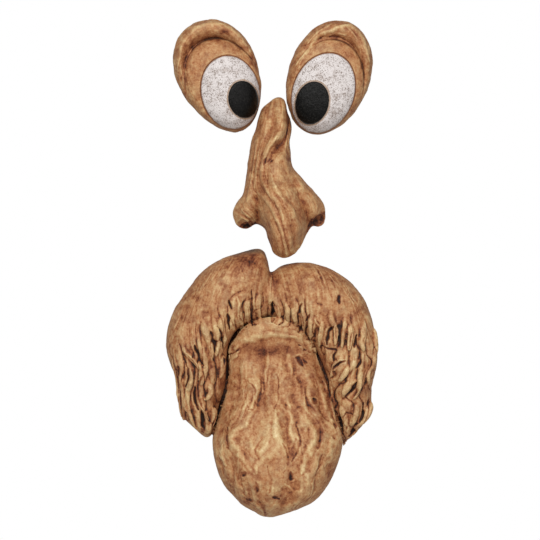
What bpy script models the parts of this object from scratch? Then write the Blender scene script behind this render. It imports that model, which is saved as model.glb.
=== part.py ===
"""Tree face: two eyes, a nose and a moustached mouth, four flat-backed castings that hang on a trunk.

Metres, +Z up. The trunk that the castings hang on is the plane y = 0 and they stand out towards -Y.
Below, x and z are places on that plane and w is the distance forward of it, so y = -w.
The origin is the middle of the mouth's back.
"""

import math

import bmesh
import bpy
from mathutils import Vector

# Mouth: a moustache over a lower lip and a long chin
MOUTH_WIDTH = 0.148
MOUTH_HEIGHT = 0.188
MOUTH_DEPTH = 0.048
LIP_RADIUS = 0.0062
FOLD_DEPTH = 0.0011
FOLD_COUNT = 3.5

# Locks of the moustache
LOCK_WIDTH = 0.0088
LOCK_THICKNESS = 0.0082
LOCK_LENGTH = 0.036
LOCK_COLUMN_PITCH = 0.0064
LOCK_ROW_PITCH = 0.024
LOCK_OVERHANG = 0.0030
LOCK_LEAN = 0.0055
LOCK_SWAY = 0.0026
SMOOTH_BAND = 0.026
SCAN_STEP = 0.001

# Nose
NOSE_WIDTH = 0.0645
NOSE_HEIGHT = 0.1127
NOSE_DEPTH = 0.046
NOSE_SHIFT = 0.0049
NOSE_DIP = 0.0063
NOSTRIL_FLOOR = 0.22

# Eyes
EYE_WIDTH = 0.057
EYE_LENGTH = 0.0826
EYE_DEPTH = 0.029
EYE_GAP = 0.0176
EYE_SHIFT = 0.0011
EYE_OVER_NOSE = 0.0141
NEIGHBOUR_GAP = 0.0004
BALL_PROUD = 0.0010
BALL_BULGE = 0.0026
PUPIL_PROUD = 0.0011

# Backs
EDGE_SHARE = 0.26
UNDERCUT = 0.0036
BEHIND_WALL = 0.006
SOCKET_WIDTH = 0.008
SOCKET_DEPTH = 0.012
SOCKET_SIDES = 20

# Numbers of facets round and along
EYE_FACETS = (30, 18)
CAP_FACETS = (16, 8)
NOSE_FACETS = (40, 19)
CHIN_FACETS = (26, 17)
ROLL_FACETS = (16, 15)
BACKING_FACETS = (12, 9)
LIP_FACETS = (8, 12)
LOCK_FACETS = (6, 7)
NOSTRIL_FACETS = (14, 8)

OUTLINE_STEPS = 120
WOOD_COLOUR = (0.415, 0.225, 0.105)
EYE_COLOUR = (0.480, 0.330, 0.210)
ROUGHNESS = 0.62
HALF_TURN = math.pi
FULL_TURN = math.tau


def clear_scene():
    for obj in list(bpy.data.objects):
        bpy.data.objects.remove(obj)


def new_collection(name):
    collection = bpy.data.collections.new(name)
    bpy.context.scene.collection.children.link(collection)
    return collection


def resin(name, colour, roughness):
    """Painted cast resin: a Principled shader with a plain colour."""
    material = bpy.data.materials.new(name)
    material.use_nodes = True
    shader = material.node_tree.nodes["Principled BSDF"]
    shader.inputs["Base Color"].default_value = (*colour, 1.0)
    shader.inputs["Roughness"].default_value = roughness
    shader.inputs["Metallic"].default_value = 0.0
    return material


def clamp(value, low=0.0, high=1.0):
    return min(high, max(low, value))


def mix(a, b, t):
    return a + (b - a) * t


def smooth_step(low, high, value):
    t = clamp((value - low) / (high - low))
    return t * t * (3 - 2 * t)


def signed_power(value, power):
    return math.copysign(abs(value) ** power, value)


def spline(stations, t, closed=False):
    """A point on the Catmull-Rom curve through the stations, for t from 0 to 1."""
    count = len(stations)
    spans = count if closed else count - 1
    at = (t % 1.0) * spans if closed else clamp(t) * spans
    i = min(math.floor(at), spans - 1)
    f = at - i

    def station(k):
        return stations[k % count] if closed else stations[min(max(k, 0), count - 1)]

    rows = zip(station(i - 1), station(i), station(i + 1), station(i + 2))
    return [
        0.5 * (2 * b + (c - a) * f + (2 * a - 5 * b + 4 * c - d) * f**2 + (3 * b - a - 3 * c + d) * f**3)
        for a, b, c, d in rows
    ]


def sculpt(name, collection, facets, place):
    """A ball whose points go where place(t, turn) says: t runs from pole to pole and turn once round."""
    segments, rings = facets
    shape = bmesh.new()
    bmesh.ops.create_uvsphere(shape, u_segments=segments, v_segments=rings, radius=1.0)
    for vertex in shape.verts:
        x, y, z = vertex.co
        t = math.acos(clamp(z, -1.0, 1.0)) / HALF_TURN
        turn = math.atan2(y, x) / FULL_TURN
        vertex.co = Vector(place(t, turn % 1.0))
    shape.normal_update()
    bmesh.ops.recalc_face_normals(shape, faces=shape.faces)
    return link_shape(name, shape, collection)


def link_shape(name, shape, collection):
    mesh = bpy.data.meshes.new(name)
    shape.to_mesh(mesh)
    shape.free()
    obj = bpy.data.objects.new(name, mesh)
    collection.objects.link(obj)
    return obj


def apply_modifiers(obj):
    bpy.context.view_layer.update()
    graph = bpy.context.evaluated_depsgraph_get()
    mesh = bpy.data.meshes.new_from_object(obj.evaluated_get(graph))
    obj.modifiers.clear()
    obj.data = mesh


def boolean(obj, other, operation):
    """Joins or cuts obj with other, applies it and removes other."""
    modifier = obj.modifiers.new(other.name, "BOOLEAN")
    modifier.operation = operation
    modifier.solver = "EXACT"
    modifier.object = other
    apply_modifiers(obj)
    bpy.data.objects.remove(other)


def join_all(obj, others):
    """Joins obj with many others in one union, so that rounding enters once, and removes them."""
    group = new_collection("Joined")
    for other in others:
        group.objects.link(other)
    modifier = obj.modifiers.new("joined", "BOOLEAN")
    modifier.operation = "UNION"
    modifier.solver = "EXACT"
    modifier.operand_type = "COLLECTION"
    modifier.collection = group
    apply_modifiers(obj)
    for other in others:
        bpy.data.objects.remove(other)
    bpy.data.collections.remove(group)


def fill_pockets(obj):
    """Casts solid the pockets that are sealed between joined pieces: it keeps the outer shell alone."""
    shape = bmesh.new()
    shape.from_mesh(obj.data)
    waiting = set(shape.verts)
    shells = []
    while waiting:
        front = [waiting.pop()]
        shell = set(front)
        while front:
            near = [edge.other_vert(vertex) for vertex in front for edge in vertex.link_edges]
            front = [vertex for vertex in set(near) if vertex in waiting]
            waiting.difference_update(front)
            shell.update(front)
        shells.append(shell)
    outer = max(shells, key=len)
    inner = [vertex for shell in shells if shell is not outer for vertex in shell]
    bmesh.ops.delete(shape, geom=inner, context="VERTS")
    shape.to_mesh(obj.data)
    shape.free()


def make_cutter(name, collection, shape):
    obj = link_shape(name, shape, collection)
    obj.hide_render = True
    obj.display_type = "WIRE"
    return obj


def wall_block(collection):
    """A block behind the wall plane that cuts every back flat."""
    reach = MOUTH_HEIGHT + NOSE_HEIGHT + EYE_LENGTH
    shape = bmesh.new()
    bmesh.ops.create_cube(shape, size=2 * reach)
    bmesh.ops.translate(shape, verts=shape.verts, vec=(0, reach, 0))
    return make_cutter("wall_block", collection, shape)


def socket_drill(collection, x, z):
    """A drill for the blind hole that takes the head of the hanging nail."""
    shape = bmesh.new()
    radius = SOCKET_WIDTH / 2
    bmesh.ops.create_cone(
        shape, cap_ends=True, segments=SOCKET_SIDES, radius1=radius, radius2=radius, depth=2 * SOCKET_DEPTH
    )
    drill = make_cutter("socket_drill", collection, shape)
    drill.rotation_euler = (HALF_TURN / 2, 0, 0)
    drill.location = (x, 0, z)
    return drill


def finish_back(obj, cutters, socket):
    """Cuts the back flat on the wall plane and drills the hanging socket."""
    boolean(obj, wall_block(cutters), "DIFFERENCE")
    boolean(obj, socket_drill(cutters, *socket), "DIFFERENCE")


def dress(obj, material):
    obj.data.materials.clear()
    obj.data.materials.append(material)
    for face in obj.data.polygons:
        face.material_index = 0
    obj.data.shade_smooth()
    obj.data.set_sharp_from_angle(angle=math.radians(50))


# Relief: a carved front inside an outline, a flank that turns under, and a back behind the wall

FRONT_SHARE = 0.76
FLANK_SHARE = 0.92


def relief_place(outline, centre, front, edge, foot):
    """The place function of a relief.

    outline(turn) is a wall point on the silhouette and foot(turn) is where the flank meets the wall.
    front(x, z, rho) is the height over a point at share rho of the way out to the outline,
    and edge(turn) is the height of the silhouette itself.
    """
    cx, cz = centre

    def place(t, turn):
        ox, oz = outline(turn)
        fx, fz = foot(turn)
        if t <= FRONT_SHARE:
            rho = math.sin(HALF_TURN / 2 * t / FRONT_SHARE) ** 0.9
            x, z = mix(cx, ox, rho), mix(cz, oz, rho)
            shoulder = math.sqrt(max(0.0, 1 - rho**9))
            w = mix(edge(turn), front(x, z, rho), shoulder)
        elif t <= FLANK_SHARE:
            down = (t - FRONT_SHARE) / (FLANK_SHARE - FRONT_SHARE)
            inset = 1 - math.cos(HALF_TURN / 2 * down)
            x, z = mix(ox, fx, inset), mix(oz, fz, inset)
            w = mix(edge(turn), 0, down)
        else:
            back = (1 - t) / (1 - FLANK_SHARE)
            x, z = mix(cx, fx, back), mix(cz, fz, back)
            w = -BEHIND_WALL
        return (x, -w, z)

    return place


# Eyes: a blunt egg with a hooded brow, a domed lid, an eyeball and a pupil.
# Places on an eye are shares of its half length, u across it and v along it towards its blunt, upper end.

LID_MIDDLE = (0.01, -0.19)
LID_SIZE = (0.625, 0.825)
BROW_CREST = 0.88
BROW_WIDTH = 0.20

LEFT_EYE = {
    "side": -1,
    "rise": 0.0010,
    "tilt": math.radians(-23.5),
    "taper": 0.134,
    "ball": (0.063, -0.348),
    "ball_size": (0.500, 0.626),
    "ball_tilt": math.radians(11.5),
    "pupil": (0.213, -0.550),
    "pupil_size": (0.256, 0.315),
    "pupil_tilt": math.radians(15),
}
RIGHT_EYE = {
    "side": 1,
    "rise": 0.0,
    "tilt": math.radians(19.8),
    "taper": 0.05,
    "ball": (0.007, -0.294),
    "ball_size": (0.525, 0.694),
    "ball_tilt": math.radians(1),
    "pupil": (-0.113, -0.526),
    "pupil_size": (0.285, 0.365),
    "pupil_tilt": math.radians(-6),
}


def turned(eye, u, v):
    """How far right and up of the egg's middle a place in its own frame lies, in metres."""
    c, s = math.cos(eye["tilt"]), math.sin(eye["tilt"])
    return u * c + v * s, v * c - u * s


def egg_offset(eye, turn, inset=0.0):
    """How far right and up of the egg's middle its outline lies."""
    angle = FULL_TURN * turn
    u = (EYE_WIDTH / 2 - inset) * math.cos(angle) * (1 + eye["taper"] * math.sin(angle))
    v = (EYE_LENGTH / 2 - inset) * math.sin(angle)
    return turned(eye, u, v)


def eye_middle(eye):
    """The egg's middle on the wall, placed by the gap between the two eyes over the nose."""
    reach = max(-eye["side"] * egg_offset(eye, k / OUTLINE_STEPS)[0] for k in range(OUTLINE_STEPS))
    x = EYE_SHIFT + eye["side"] * (EYE_GAP / 2 + reach)
    z = nose_top() + EYE_OVER_NOSE + eye["rise"]
    return x, z


def from_egg(eye, u, v):
    """The wall point of a place in the egg's own frame, in metres."""
    (x, z), (dx, dz) = eye_middle(eye), turned(eye, u, v)
    return x + dx, z + dz


def to_egg(eye, x, z):
    mx, mz = eye_middle(eye)
    c, s = math.cos(eye["tilt"]), math.sin(eye["tilt"])
    return (x - mx) * c - (z - mz) * s, (x - mx) * s + (z - mz) * c


def lid_height(u, v):
    """The lid's dome, from its crease up to its middle."""
    half_length = EYE_LENGTH / 2
    across = (u / half_length - LID_MIDDLE[0]) / LID_SIZE[0]
    along = (v / half_length - LID_MIDDLE[1]) / LID_SIZE[1]
    return mix(0.34, 0.92, math.sqrt(max(0.0, 1 - across**2 - along**2))) * EYE_DEPTH


def eye_front(u, v, rho):
    """The higher of the lid's dome and the brow, which hoods the blunt end and runs out at the narrow one."""
    hood = smooth_step(-0.55, 0.75, v / (EYE_LENGTH / 2))
    inside = min(0.0, (rho - BROW_CREST) / BROW_WIDTH)
    crest = mix(0.30, 1.0, hood) * EYE_DEPTH
    brow = crest * max(0.0, 1 - inside**2) ** 0.8
    return max(lid_height(u, v), brow)


def eye_edge(eye, z):
    """How near the nose the egg's outline comes at height z, or nothing above and below the egg."""
    x0, z0 = eye_middle(eye)
    points = [egg_offset(eye, k / OUTLINE_STEPS) for k in range(OUTLINE_STEPS + 1)]
    crossings = [
        x0 + mix(ax, bx, (z - z0 - az) / (bz - az))
        for (ax, az), (bx, bz) in zip(points, points[1:])
        if min(az, bz) <= z - z0 < max(az, bz)
    ]
    if not crossings:
        return None
    return min(crossings) if eye["side"] > 0 else max(crossings)


def make_eye(name, eye, parts, cutters, material):
    half_length = EYE_LENGTH / 2
    middle = eye_middle(eye)

    def egg(turn, inset=0.0):
        dx, dz = egg_offset(eye, turn, inset)
        return middle[0] + dx, middle[1] + dz

    def front(x, z, rho):
        return eye_front(*to_egg(eye, x, z), rho)

    def make_cap(key, proud, bulge, sunk):
        """A lens standing out of the lid's dome, proud at its rim and bulging in its middle."""
        (across, along), (middle_u, middle_v), tilt = eye[key + "_size"], eye[key], eye[key + "_tilt"]
        c, s = math.cos(tilt), math.sin(tilt)

        def place(t, turn):
            reach = math.sin(HALF_TURN * t)
            a = across * half_length * reach * math.cos(FULL_TURN * turn)
            b = along * half_length * reach * math.sin(FULL_TURN * turn)
            u = middle_u * half_length + a * c + b * s
            v = middle_v * half_length - a * s + b * c
            x, z = from_egg(eye, u, v)
            lift = proud + bulge * (1 - reach**2) if t < 0.5 else -sunk
            return (x, -(lid_height(u, v) + lift), z)

        return sculpt(name + "_" + key, parts, CAP_FACETS, place)

    body = sculpt(
        name,
        parts,
        EYE_FACETS,
        relief_place(
            outline=egg,
            centre=from_egg(eye, 0.0, LID_MIDDLE[1] / 2 * half_length),
            front=front,
            edge=lambda turn: EDGE_SHARE * EYE_DEPTH,
            foot=lambda turn: egg(turn, inset=UNDERCUT),
        ),
    )
    sunk = 2 * BALL_BULGE
    boolean(body, make_cap("ball", BALL_PROUD, BALL_BULGE, sunk), "UNION")
    boolean(body, make_cap("pupil", BALL_PROUD + BALL_BULGE * 0.8 + PUPIL_PROUD, 0.0, sunk), "UNION")
    finish_back(body, cutters, from_egg(eye, 0.0, 0.15 * half_length))
    dress(body, material)


# Nose: a twisted bridge that swells to two winged nostrils and a drooping tip.
# Places on it are shares of its width, from its middle, and of its height, down from its top.

NOSE_OUTLINE = (
    (-0.03, 0.00), (-0.12, -0.035), (-0.195, -0.075), (-0.235, -0.14), (-0.26, -0.205), (-0.305, -0.275),
    (-0.33, -0.355), (-0.35, -0.435), (-0.365, -0.515), (-0.39, -0.60), (-0.455, -0.65), (-0.50, -0.715),
    (-0.46, -0.79), (-0.36, -0.82), (-0.26, -0.795), (-0.185, -0.82), (-0.14, -0.89), (-0.075, -0.965),
    (0.045, -1.00), (0.165, -0.975), (0.24, -0.92), (0.30, -0.855), (0.36, -0.805), (0.435, -0.80),
    (0.495, -0.775), (0.505, -0.71), (0.455, -0.635), (0.36, -0.57), (0.24, -0.495), (0.15, -0.43),
    (0.125, -0.34), (0.115, -0.275), (0.135, -0.21), (0.13, -0.145), (0.094, -0.08), (0.07, -0.02), (0.03, 0.0),
)
# The strands that twist down the nose: across, down, half width (share of width), height (share of depth).
NOSE_STRANDS = (
    (
        (0.01, -0.015, 0.10, 0.42), (0.02, -0.11, 0.10, 0.54), (0.005, -0.20, 0.10, 0.61),
        (-0.07, -0.28, 0.10, 0.66), (-0.14, -0.36, 0.11, 0.65), (-0.20, -0.44, 0.11, 0.60),
    ),
    (
        (-0.09, -0.04, 0.14, 0.40), (-0.13, -0.14, 0.15, 0.53), (-0.17, -0.25, 0.15, 0.59),
        (-0.22, -0.38, 0.15, 0.60), (-0.25, -0.52, 0.16, 0.60), (-0.31, -0.62, 0.18, 0.54), (-0.35, -0.71, 0.17, 0.48),
    ),
    (
        (0.08, -0.20, 0.11, 0.44), (0.04, -0.32, 0.15, 0.58), (-0.04, -0.41, 0.19, 0.72),
        (-0.05, -0.53, 0.22, 0.84), (0.00, -0.66, 0.26, 0.94), (0.05, -0.80, 0.27, 1.00), (0.05, -0.92, 0.22, 0.94),
    ),
    (
        (0.02, -0.40, 0.12, 0.62), (0.12, -0.50, 0.16, 0.62), (0.24, -0.60, 0.18, 0.60), (0.37, -0.70, 0.16, 0.50),
    ),
)
# Where the nostrils open under the wings: across, down, half length and half height (share of width), tilt.
NOSTRILS = ((-0.325, -0.820, 0.110, 0.062, math.radians(4)), (0.485, -0.785, 0.150, 0.065, math.radians(44)))


def nose_top():
    return MOUTH_HEIGHT / 2 - NOSE_DIP + NOSE_HEIGHT


def nose_point(across, down):
    return NOSE_SHIFT + across * NOSE_WIDTH, nose_top() + down * NOSE_HEIGHT


def strand_height(stations, x, z):
    """How high a rounded strand stands over a wall point, as a share of the nose's depth."""
    best = 0.0
    steps = 24
    for step in range(steps + 1):
        across, down, half_width, high = spline(stations, step / steps)
        sx, sz = nose_point(across, down)
        away = math.hypot(x - sx, z - sz) / (half_width * NOSE_WIDTH)
        if away < 1:
            best = max(best, high * math.sqrt(1 - away * away))
    return best


def nose_front(x, z, rho):
    """The strands, blended so that each keeps its own ridge and shares its foot with the next."""
    blend = 5
    total = 0.30**blend + sum(strand_height(strand, x, z) ** blend for strand in NOSE_STRANDS)
    return NOSE_DEPTH * min(1.0, total ** (1 / blend))


def make_nostril(nostril, cutters):
    """A cutter that takes the front off under a wing and leaves the nostril's floor behind it."""
    across, down, half_length, half_height, tilt = nostril
    x, z = nose_point(across, down)
    c, s = math.cos(tilt), math.sin(tilt)

    def place(t, turn):
        ring = math.sin(HALF_TURN * t) ** 0.5
        a = half_length * NOSE_WIDTH * ring * math.cos(FULL_TURN * turn)
        b = half_height * NOSE_WIDTH * ring * math.sin(FULL_TURN * turn)
        w = mix(NOSTRIL_FLOOR, 1.0, (1 + math.cos(HALF_TURN * t)) / 2) * NOSE_DEPTH
        return (x + a * c - b * s, -w, z + a * s + b * c)

    cutter = sculpt("nostril", cutters, NOSTRIL_FACETS, place)
    cutter.hide_render = True
    cutter.display_type = "WIRE"
    return cutter


def make_nose(parts, cutters, material):
    def outline(turn):
        # Turn 0 is towards +X and the outline's first point is at the top
        x, z = nose_point(*spline(NOSE_OUTLINE, turn - 0.25, closed=True))
        right, left = eye_edge(RIGHT_EYE, z), eye_edge(LEFT_EYE, z)
        if right is not None:
            x = min(x, right - NEIGHBOUR_GAP)
        if left is not None:
            x = max(x, left + NEIGHBOUR_GAP)
        return x, z

    def droop(z):
        return smooth_step(-0.78, -0.96, (z - nose_top()) / NOSE_HEIGHT)

    def edge(turn):
        return mix(0.20, 0.60, droop(outline(turn)[1])) * NOSE_DEPTH

    def foot(turn):
        """The flank meets the wall just inside the outline, but well up under the tip."""
        x, z = outline(turn)
        middle_x, middle_z = nose_point(0.0, -0.45)
        inward = UNDERCUT / math.hypot(x - middle_x, z - middle_z)
        x, z = mix(x, middle_x, inward), mix(z, middle_z, inward)
        return x, mix(z, nose_point(0.0, -0.76)[1], 0.8 * droop(z))

    body = sculpt(
        "nose",
        parts,
        NOSE_FACETS,
        relief_place(outline, nose_point(0.0, -0.56), nose_front, edge, foot),
    )
    for nostril in NOSTRILS:
        boolean(body, make_nostril(nostril, cutters), "DIFFERENCE")
    finish_back(body, cutters, nose_point(-0.08, -0.36))
    dress(body, material)


# Mouth. Places on it are shares of its width and height from its middle.
# Each station is one edge, the other edge and the height between them as a share of the depth.

LEFT_HALF = (
    (0.005, 0.335, 0.015, 0.250, 0.50), (-0.036, 0.496, -0.047, 0.233, 0.68), (-0.151, 0.495, -0.137, 0.214, 0.82),
    (-0.293, 0.441, -0.194, 0.166, 0.84), (-0.393, 0.356, -0.213, 0.102, 0.80), (-0.478, 0.248, -0.215, 0.032, 0.76),
    (-0.506, 0.125, -0.227, -0.043, 0.70), (-0.449, 0.002, -0.251, -0.106, 0.62),
    (-0.435, -0.106, -0.270, -0.166, 0.52), (-0.360, -0.181, -0.289, -0.214, 0.40),
)
RIGHT_HALF = (
    (-0.065, 0.375, -0.070, 0.250, 0.50), (0.050, 0.440, 0.047, 0.225, 0.68), (0.180, 0.449, 0.132, 0.199, 0.82),
    (0.312, 0.411, 0.194, 0.151, 0.84), (0.421, 0.333, 0.227, 0.095, 0.80), (0.482, 0.214, 0.251, 0.035, 0.76),
    (0.504, 0.095, 0.274, -0.024, 0.70), (0.471, -0.024, 0.298, -0.080, 0.62),
    (0.468, -0.110, 0.322, -0.155, 0.52), (0.388, -0.199, 0.331, -0.225, 0.40),
)
CHIN = (
    (-0.132, 0.270, 0.114, 0.270, 0.36), (-0.199, 0.169, 0.199, 0.158, 0.50), (-0.220, 0.095, 0.227, 0.099, 0.54),
    (-0.220, -0.006, 0.279, 0.002, 0.66), (-0.251, -0.106, 0.312, -0.106, 0.80), (-0.281, -0.210, 0.336, -0.210, 0.93),
    (-0.267, -0.300, 0.310, -0.300, 1.00), (-0.229, -0.374, 0.267, -0.374, 0.95),
    (-0.161, -0.437, 0.199, -0.437, 0.80), (-0.076, -0.500, 0.057, -0.500, 0.50),
)
# The slab of the casting that runs behind the chin and both halves.
BACKING = (
    (-0.10, 0.40, 0.10, 0.40, 0.25), (-0.32, 0.31, 0.33, 0.31, 0.25), (-0.42, 0.11, 0.43, 0.11, 0.25),
    (-0.38, -0.08, 0.41, -0.08, 0.22), (-0.29, -0.20, 0.34, -0.20, 0.20),
)
# The lower lip: x, z and height of its middle line.
LIP = ((-0.205, 0.135, 0.44), (-0.125, 0.182, 0.50), (-0.010, 0.205, 0.53), (0.112, 0.195, 0.50), (0.208, 0.130, 0.44))
SECTION_POWER = 0.75
END_ROUND = 0.10


def mouth_point(across, up):
    return across * MOUTH_WIDTH, up * MOUTH_HEIGHT


def body_place(stations, folds=0.0):
    """Place function of a long body between two edges, rounded at its ends and reaching behind the wall."""

    def place(t, turn):
        along = (1 - math.cos(HALF_TURN * t)) / 2
        to_end = clamp(min(along, 1 - along) / END_ROUND)
        girth = math.sqrt(1 - (1 - to_end) ** 2)
        ax, az, bx, bz, high = spline(stations, along)
        (ax, az), (bx, bz), high = mouth_point(ax, az), mouth_point(bx, bz), high * MOUTH_DEPTH
        angle = FULL_TURN * turn
        q = signed_power(math.cos(angle), SECTION_POWER) * girth
        rise = signed_power(math.sin(angle), SECTION_POWER) * girth
        x, z = mix(ax, bx, (1 + q) / 2), mix(az, bz, (1 + q) / 2)
        middle = EDGE_SHARE * high
        if rise >= 0:
            sway = 0.9 * math.sin(2.5 * FULL_TURN * along)
            fold = folds * math.cos(FULL_TURN * FOLD_COUNT * q / 2 + sway)
            w = middle + (high - middle + fold) * rise
        else:
            w = middle + (middle + BEHIND_WALL) * rise
        return (x, -w, z)

    return place


def surface_height(obj, x, z):
    """How far an object's front stands out over a wall point, or nothing where it isn't over that point."""
    reach = Vector((0, 1, 0))
    hit, point, _, _ = obj.ray_cast(Vector((x, -1.0, z)), reach)
    return -point.y if hit else None


def lock_tips(roll, side):
    """Tip and way of every lock of one half: columns across it, rows up each column to the smooth band."""
    tips = []
    count = int(0.5 * MOUTH_WIDTH / LOCK_COLUMN_PITCH)
    for column in range(count):
        x = side * LOCK_COLUMN_PITCH * (column + 0.55)
        heights = [MOUTH_HEIGHT / 2 - k * SCAN_STEP for k in range(int(MOUTH_HEIGHT / SCAN_STEP))]
        covered = [z for z in heights if surface_height(roll, x, z) is not None]
        if not covered or covered[0] - covered[-1] < LOCK_LENGTH:
            continue
        wobble = math.sin(2.4 * column + side)
        tip = covered[-1] - LOCK_OVERHANG * (1 + 0.8 * wobble)
        row = 0
        while tip + 0.5 * LOCK_LENGTH < covered[0] - SMOOTH_BAND:
            tips.append((x, tip, math.sin(1.7 * column + 2.9 * row + side)))
            tip += LOCK_ROW_PITCH * (1 + 0.4 * math.sin(3.1 * column + 1.3 * row))
            row += 1
    return tips


def make_lock(index, tip, side, base, collection):
    """A flat, pointed lock that starts under the surface and lifts off it towards its tip."""
    root_x, tip_z, wave = tip
    length = LOCK_LENGTH * (1 + 0.15 * wave)
    lean = side * LOCK_LEAN * clamp((tip_z / MOUTH_HEIGHT + 0.02) / 0.2, -1.0, 1.0)

    def middle_line(along):
        x = root_x + lean * along + LOCK_SWAY * wave * math.sin(HALF_TURN * (1.7 * along + 0.3 * wave))
        z = tip_z + length * (1 - along)
        return x, z, surface_height(base, x, z)

    root = middle_line(0.0)[2] or LOCK_THICKNESS

    def place(t, turn):
        # Every ring is level, so the lock never crosses itself
        along = mix(t, (1 - math.cos(HALF_TURN * t)) / 2, 0.5)
        x, z, height = middle_line(along)
        girth = math.sqrt(clamp(t / 0.2)) * (1 - t**2.4) ** 0.8
        sink = mix(-0.42, 0.14, smooth_step(0.0, 0.6, along)) * LOCK_THICKNESS
        w = max(height or 0.0, 0.62 * root) + sink
        angle = FULL_TURN * turn
        x += LOCK_WIDTH / 2 * girth * math.cos(angle)
        w += LOCK_THICKNESS / 2 * girth * math.sin(angle)
        return (x, -w, z)

    return sculpt(f"lock_{index}", collection, LOCK_FACETS, place)


def make_mouth(parts, cutters, material):
    body = sculpt("mouth", parts, CHIN_FACETS, body_place(CHIN, FOLD_DEPTH))
    rolls = []
    tips = []
    for side, stations in ((-1, LEFT_HALF), (1, RIGHT_HALF)):
        roll = sculpt("moustache_half", parts, ROLL_FACETS, body_place(stations))
        bpy.context.view_layer.update()
        tips += [(tip, side) for tip in lock_tips(roll, side)]
        rolls.append(roll)

    def lip_place(t, turn):
        across, up, high = spline(LIP, t)
        x, z = mouth_point(across, up)
        ring = LIP_RADIUS * math.sin(HALF_TURN * t) ** 0.5
        angle = FULL_TURN * turn
        return (x, -(high * MOUTH_DEPTH + ring * math.sin(angle)), z + ring * math.cos(angle))

    backing = sculpt("backing", parts, BACKING_FACETS, body_place(BACKING))
    lip = sculpt("lip", parts, LIP_FACETS, lip_place)
    join_all(body, [backing, lip, *rolls])
    locks = [make_lock(index, tip, side, body, parts) for index, (tip, side) in enumerate(tips)]
    join_all(body, locks)
    fill_pockets(body)
    finish_back(body, cutters, mouth_point(0.0, 0.31))
    dress(body, material)


def main():
    clear_scene()
    parts = new_collection("Tree face")
    cutters = new_collection("Cutters")
    make_eye("left_eye", LEFT_EYE, parts, cutters, resin("left_eye_resin", EYE_COLOUR, ROUGHNESS))
    make_eye("right_eye", RIGHT_EYE, parts, cutters, resin("right_eye_resin", EYE_COLOUR, ROUGHNESS))
    make_nose(parts, cutters, resin("nose_resin", WOOD_COLOUR, ROUGHNESS))
    make_mouth(parts, cutters, resin("mouth_resin", WOOD_COLOUR, ROUGHNESS))


main()
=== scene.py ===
# Tree face: two eyes, a nose and a moustached mouth, four painted resin castings that hang on a trunk.
# Metres, z up. The trunk is the plane y = 0 and the castings stand out towards -y.
# Below, x and z are places on the wall and w is the distance forward of it, so y = -w.
import math

import bmesh
import bpy
import numpy as np
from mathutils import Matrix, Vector


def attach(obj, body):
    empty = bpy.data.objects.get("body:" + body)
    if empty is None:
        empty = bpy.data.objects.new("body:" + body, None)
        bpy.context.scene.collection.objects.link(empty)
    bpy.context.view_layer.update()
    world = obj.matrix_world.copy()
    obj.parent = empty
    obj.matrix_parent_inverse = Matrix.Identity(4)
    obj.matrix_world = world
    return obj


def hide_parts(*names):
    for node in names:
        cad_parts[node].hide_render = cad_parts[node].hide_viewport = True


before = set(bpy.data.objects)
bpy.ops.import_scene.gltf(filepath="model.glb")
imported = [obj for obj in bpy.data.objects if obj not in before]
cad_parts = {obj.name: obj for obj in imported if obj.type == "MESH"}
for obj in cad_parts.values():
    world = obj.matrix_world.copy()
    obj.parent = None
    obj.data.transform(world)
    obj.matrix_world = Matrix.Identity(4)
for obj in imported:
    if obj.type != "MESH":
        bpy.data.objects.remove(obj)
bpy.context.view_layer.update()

halfTurn = math.pi
fullTurn = math.tau
millimetre = 0.001


def mix(a, b, t):
    # Straight from a to b: a + (b - a) t
    return a + (b - a) * t


def smoothStep(low, high, value):
    # 0 at low and past it, 1 at high and past it, and 3t^2 - 2t^3 between them
    t = np.clip((value - low) / (high - low), 0, 1)
    return t * t * (3 - 2 * t)


def signedPower(value, power):
    # The size raised to a power, the sign kept
    return np.sign(value) * np.abs(value) ** power


def spline(stations, t, closed=False):
    # Catmull-Rom: between two stations a cubic whose slope at each is half the step between its neighbours
    table = np.asarray(stations, float)
    count = len(table)
    spans = count if closed else count - 1
    t = np.asarray(t, float)
    at = (t % 1.0) * spans if closed else np.clip(t, 0, 1) * spans
    i = np.minimum(np.floor(at).astype(int), spans - 1)
    f = (at - i).reshape(at.shape + (1,) * (table.ndim - 1))

    def pick(k):
        return table[k % count] if closed else table[np.clip(k, 0, count - 1)]

    a, b, c, d = pick(i - 1), pick(i), pick(i + 1), pick(i + 2)
    return 0.5 * (2 * b + (c - a) * f + (2 * a - 5 * b + 4 * c - d) * f**2 + (3 * b - a - 3 * c + d) * f**3)


def latticeValue(cell, seed):
    # A repeatable value from 0 to 1 for each lattice corner: its three counts mixed by products and shifts
    x, y, z = (cell[:, k].astype(np.int64).astype(np.uint32) for k in range(3))
    n = x * np.uint32(374761393) + y * np.uint32(668265263) + z * np.uint32(2246822519)
    n += np.uint32(seed * 40503 + 17)
    n = (n ^ (n >> np.uint32(13))) * np.uint32(1274126177)
    n = (n ^ (n >> np.uint32(16))) * np.uint32(2654435769)
    return (n ^ (n >> np.uint32(15))).astype(float) / 4294967295.0


def noise(points, seed):
    # Value noise from -1 to 1: the values at a unit lattice's corners, blended by 6t^5 - 15t^4 + 10t^3
    cell = np.floor(points)
    f = points - cell
    f = f**3 * (f * (f * 6 - 15) + 10)
    total = np.zeros(len(points))
    for corner in range(8):
        step = np.array([(corner >> k) & 1 for k in range(3)])
        weight = np.prod(np.where(step == 1, f, 1 - f), axis=1)
        total += weight * latticeValue(cell + step, seed)
    return total * 2 - 1


def streaks(grain, across, along, seed):
    # Noise drawn out along the grain: grain holds millimetres across, millimetres along and a layer
    return noise(grain * (across, along, 1), seed)


def layeredNoise(points, layers, seed):
    # Noise plus half as much at twice the fineness, and so on
    return sum(noise(points * 2**k + 31.7 * k, seed + k) / 2**k for k in range(layers)) / 1.5


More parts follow.
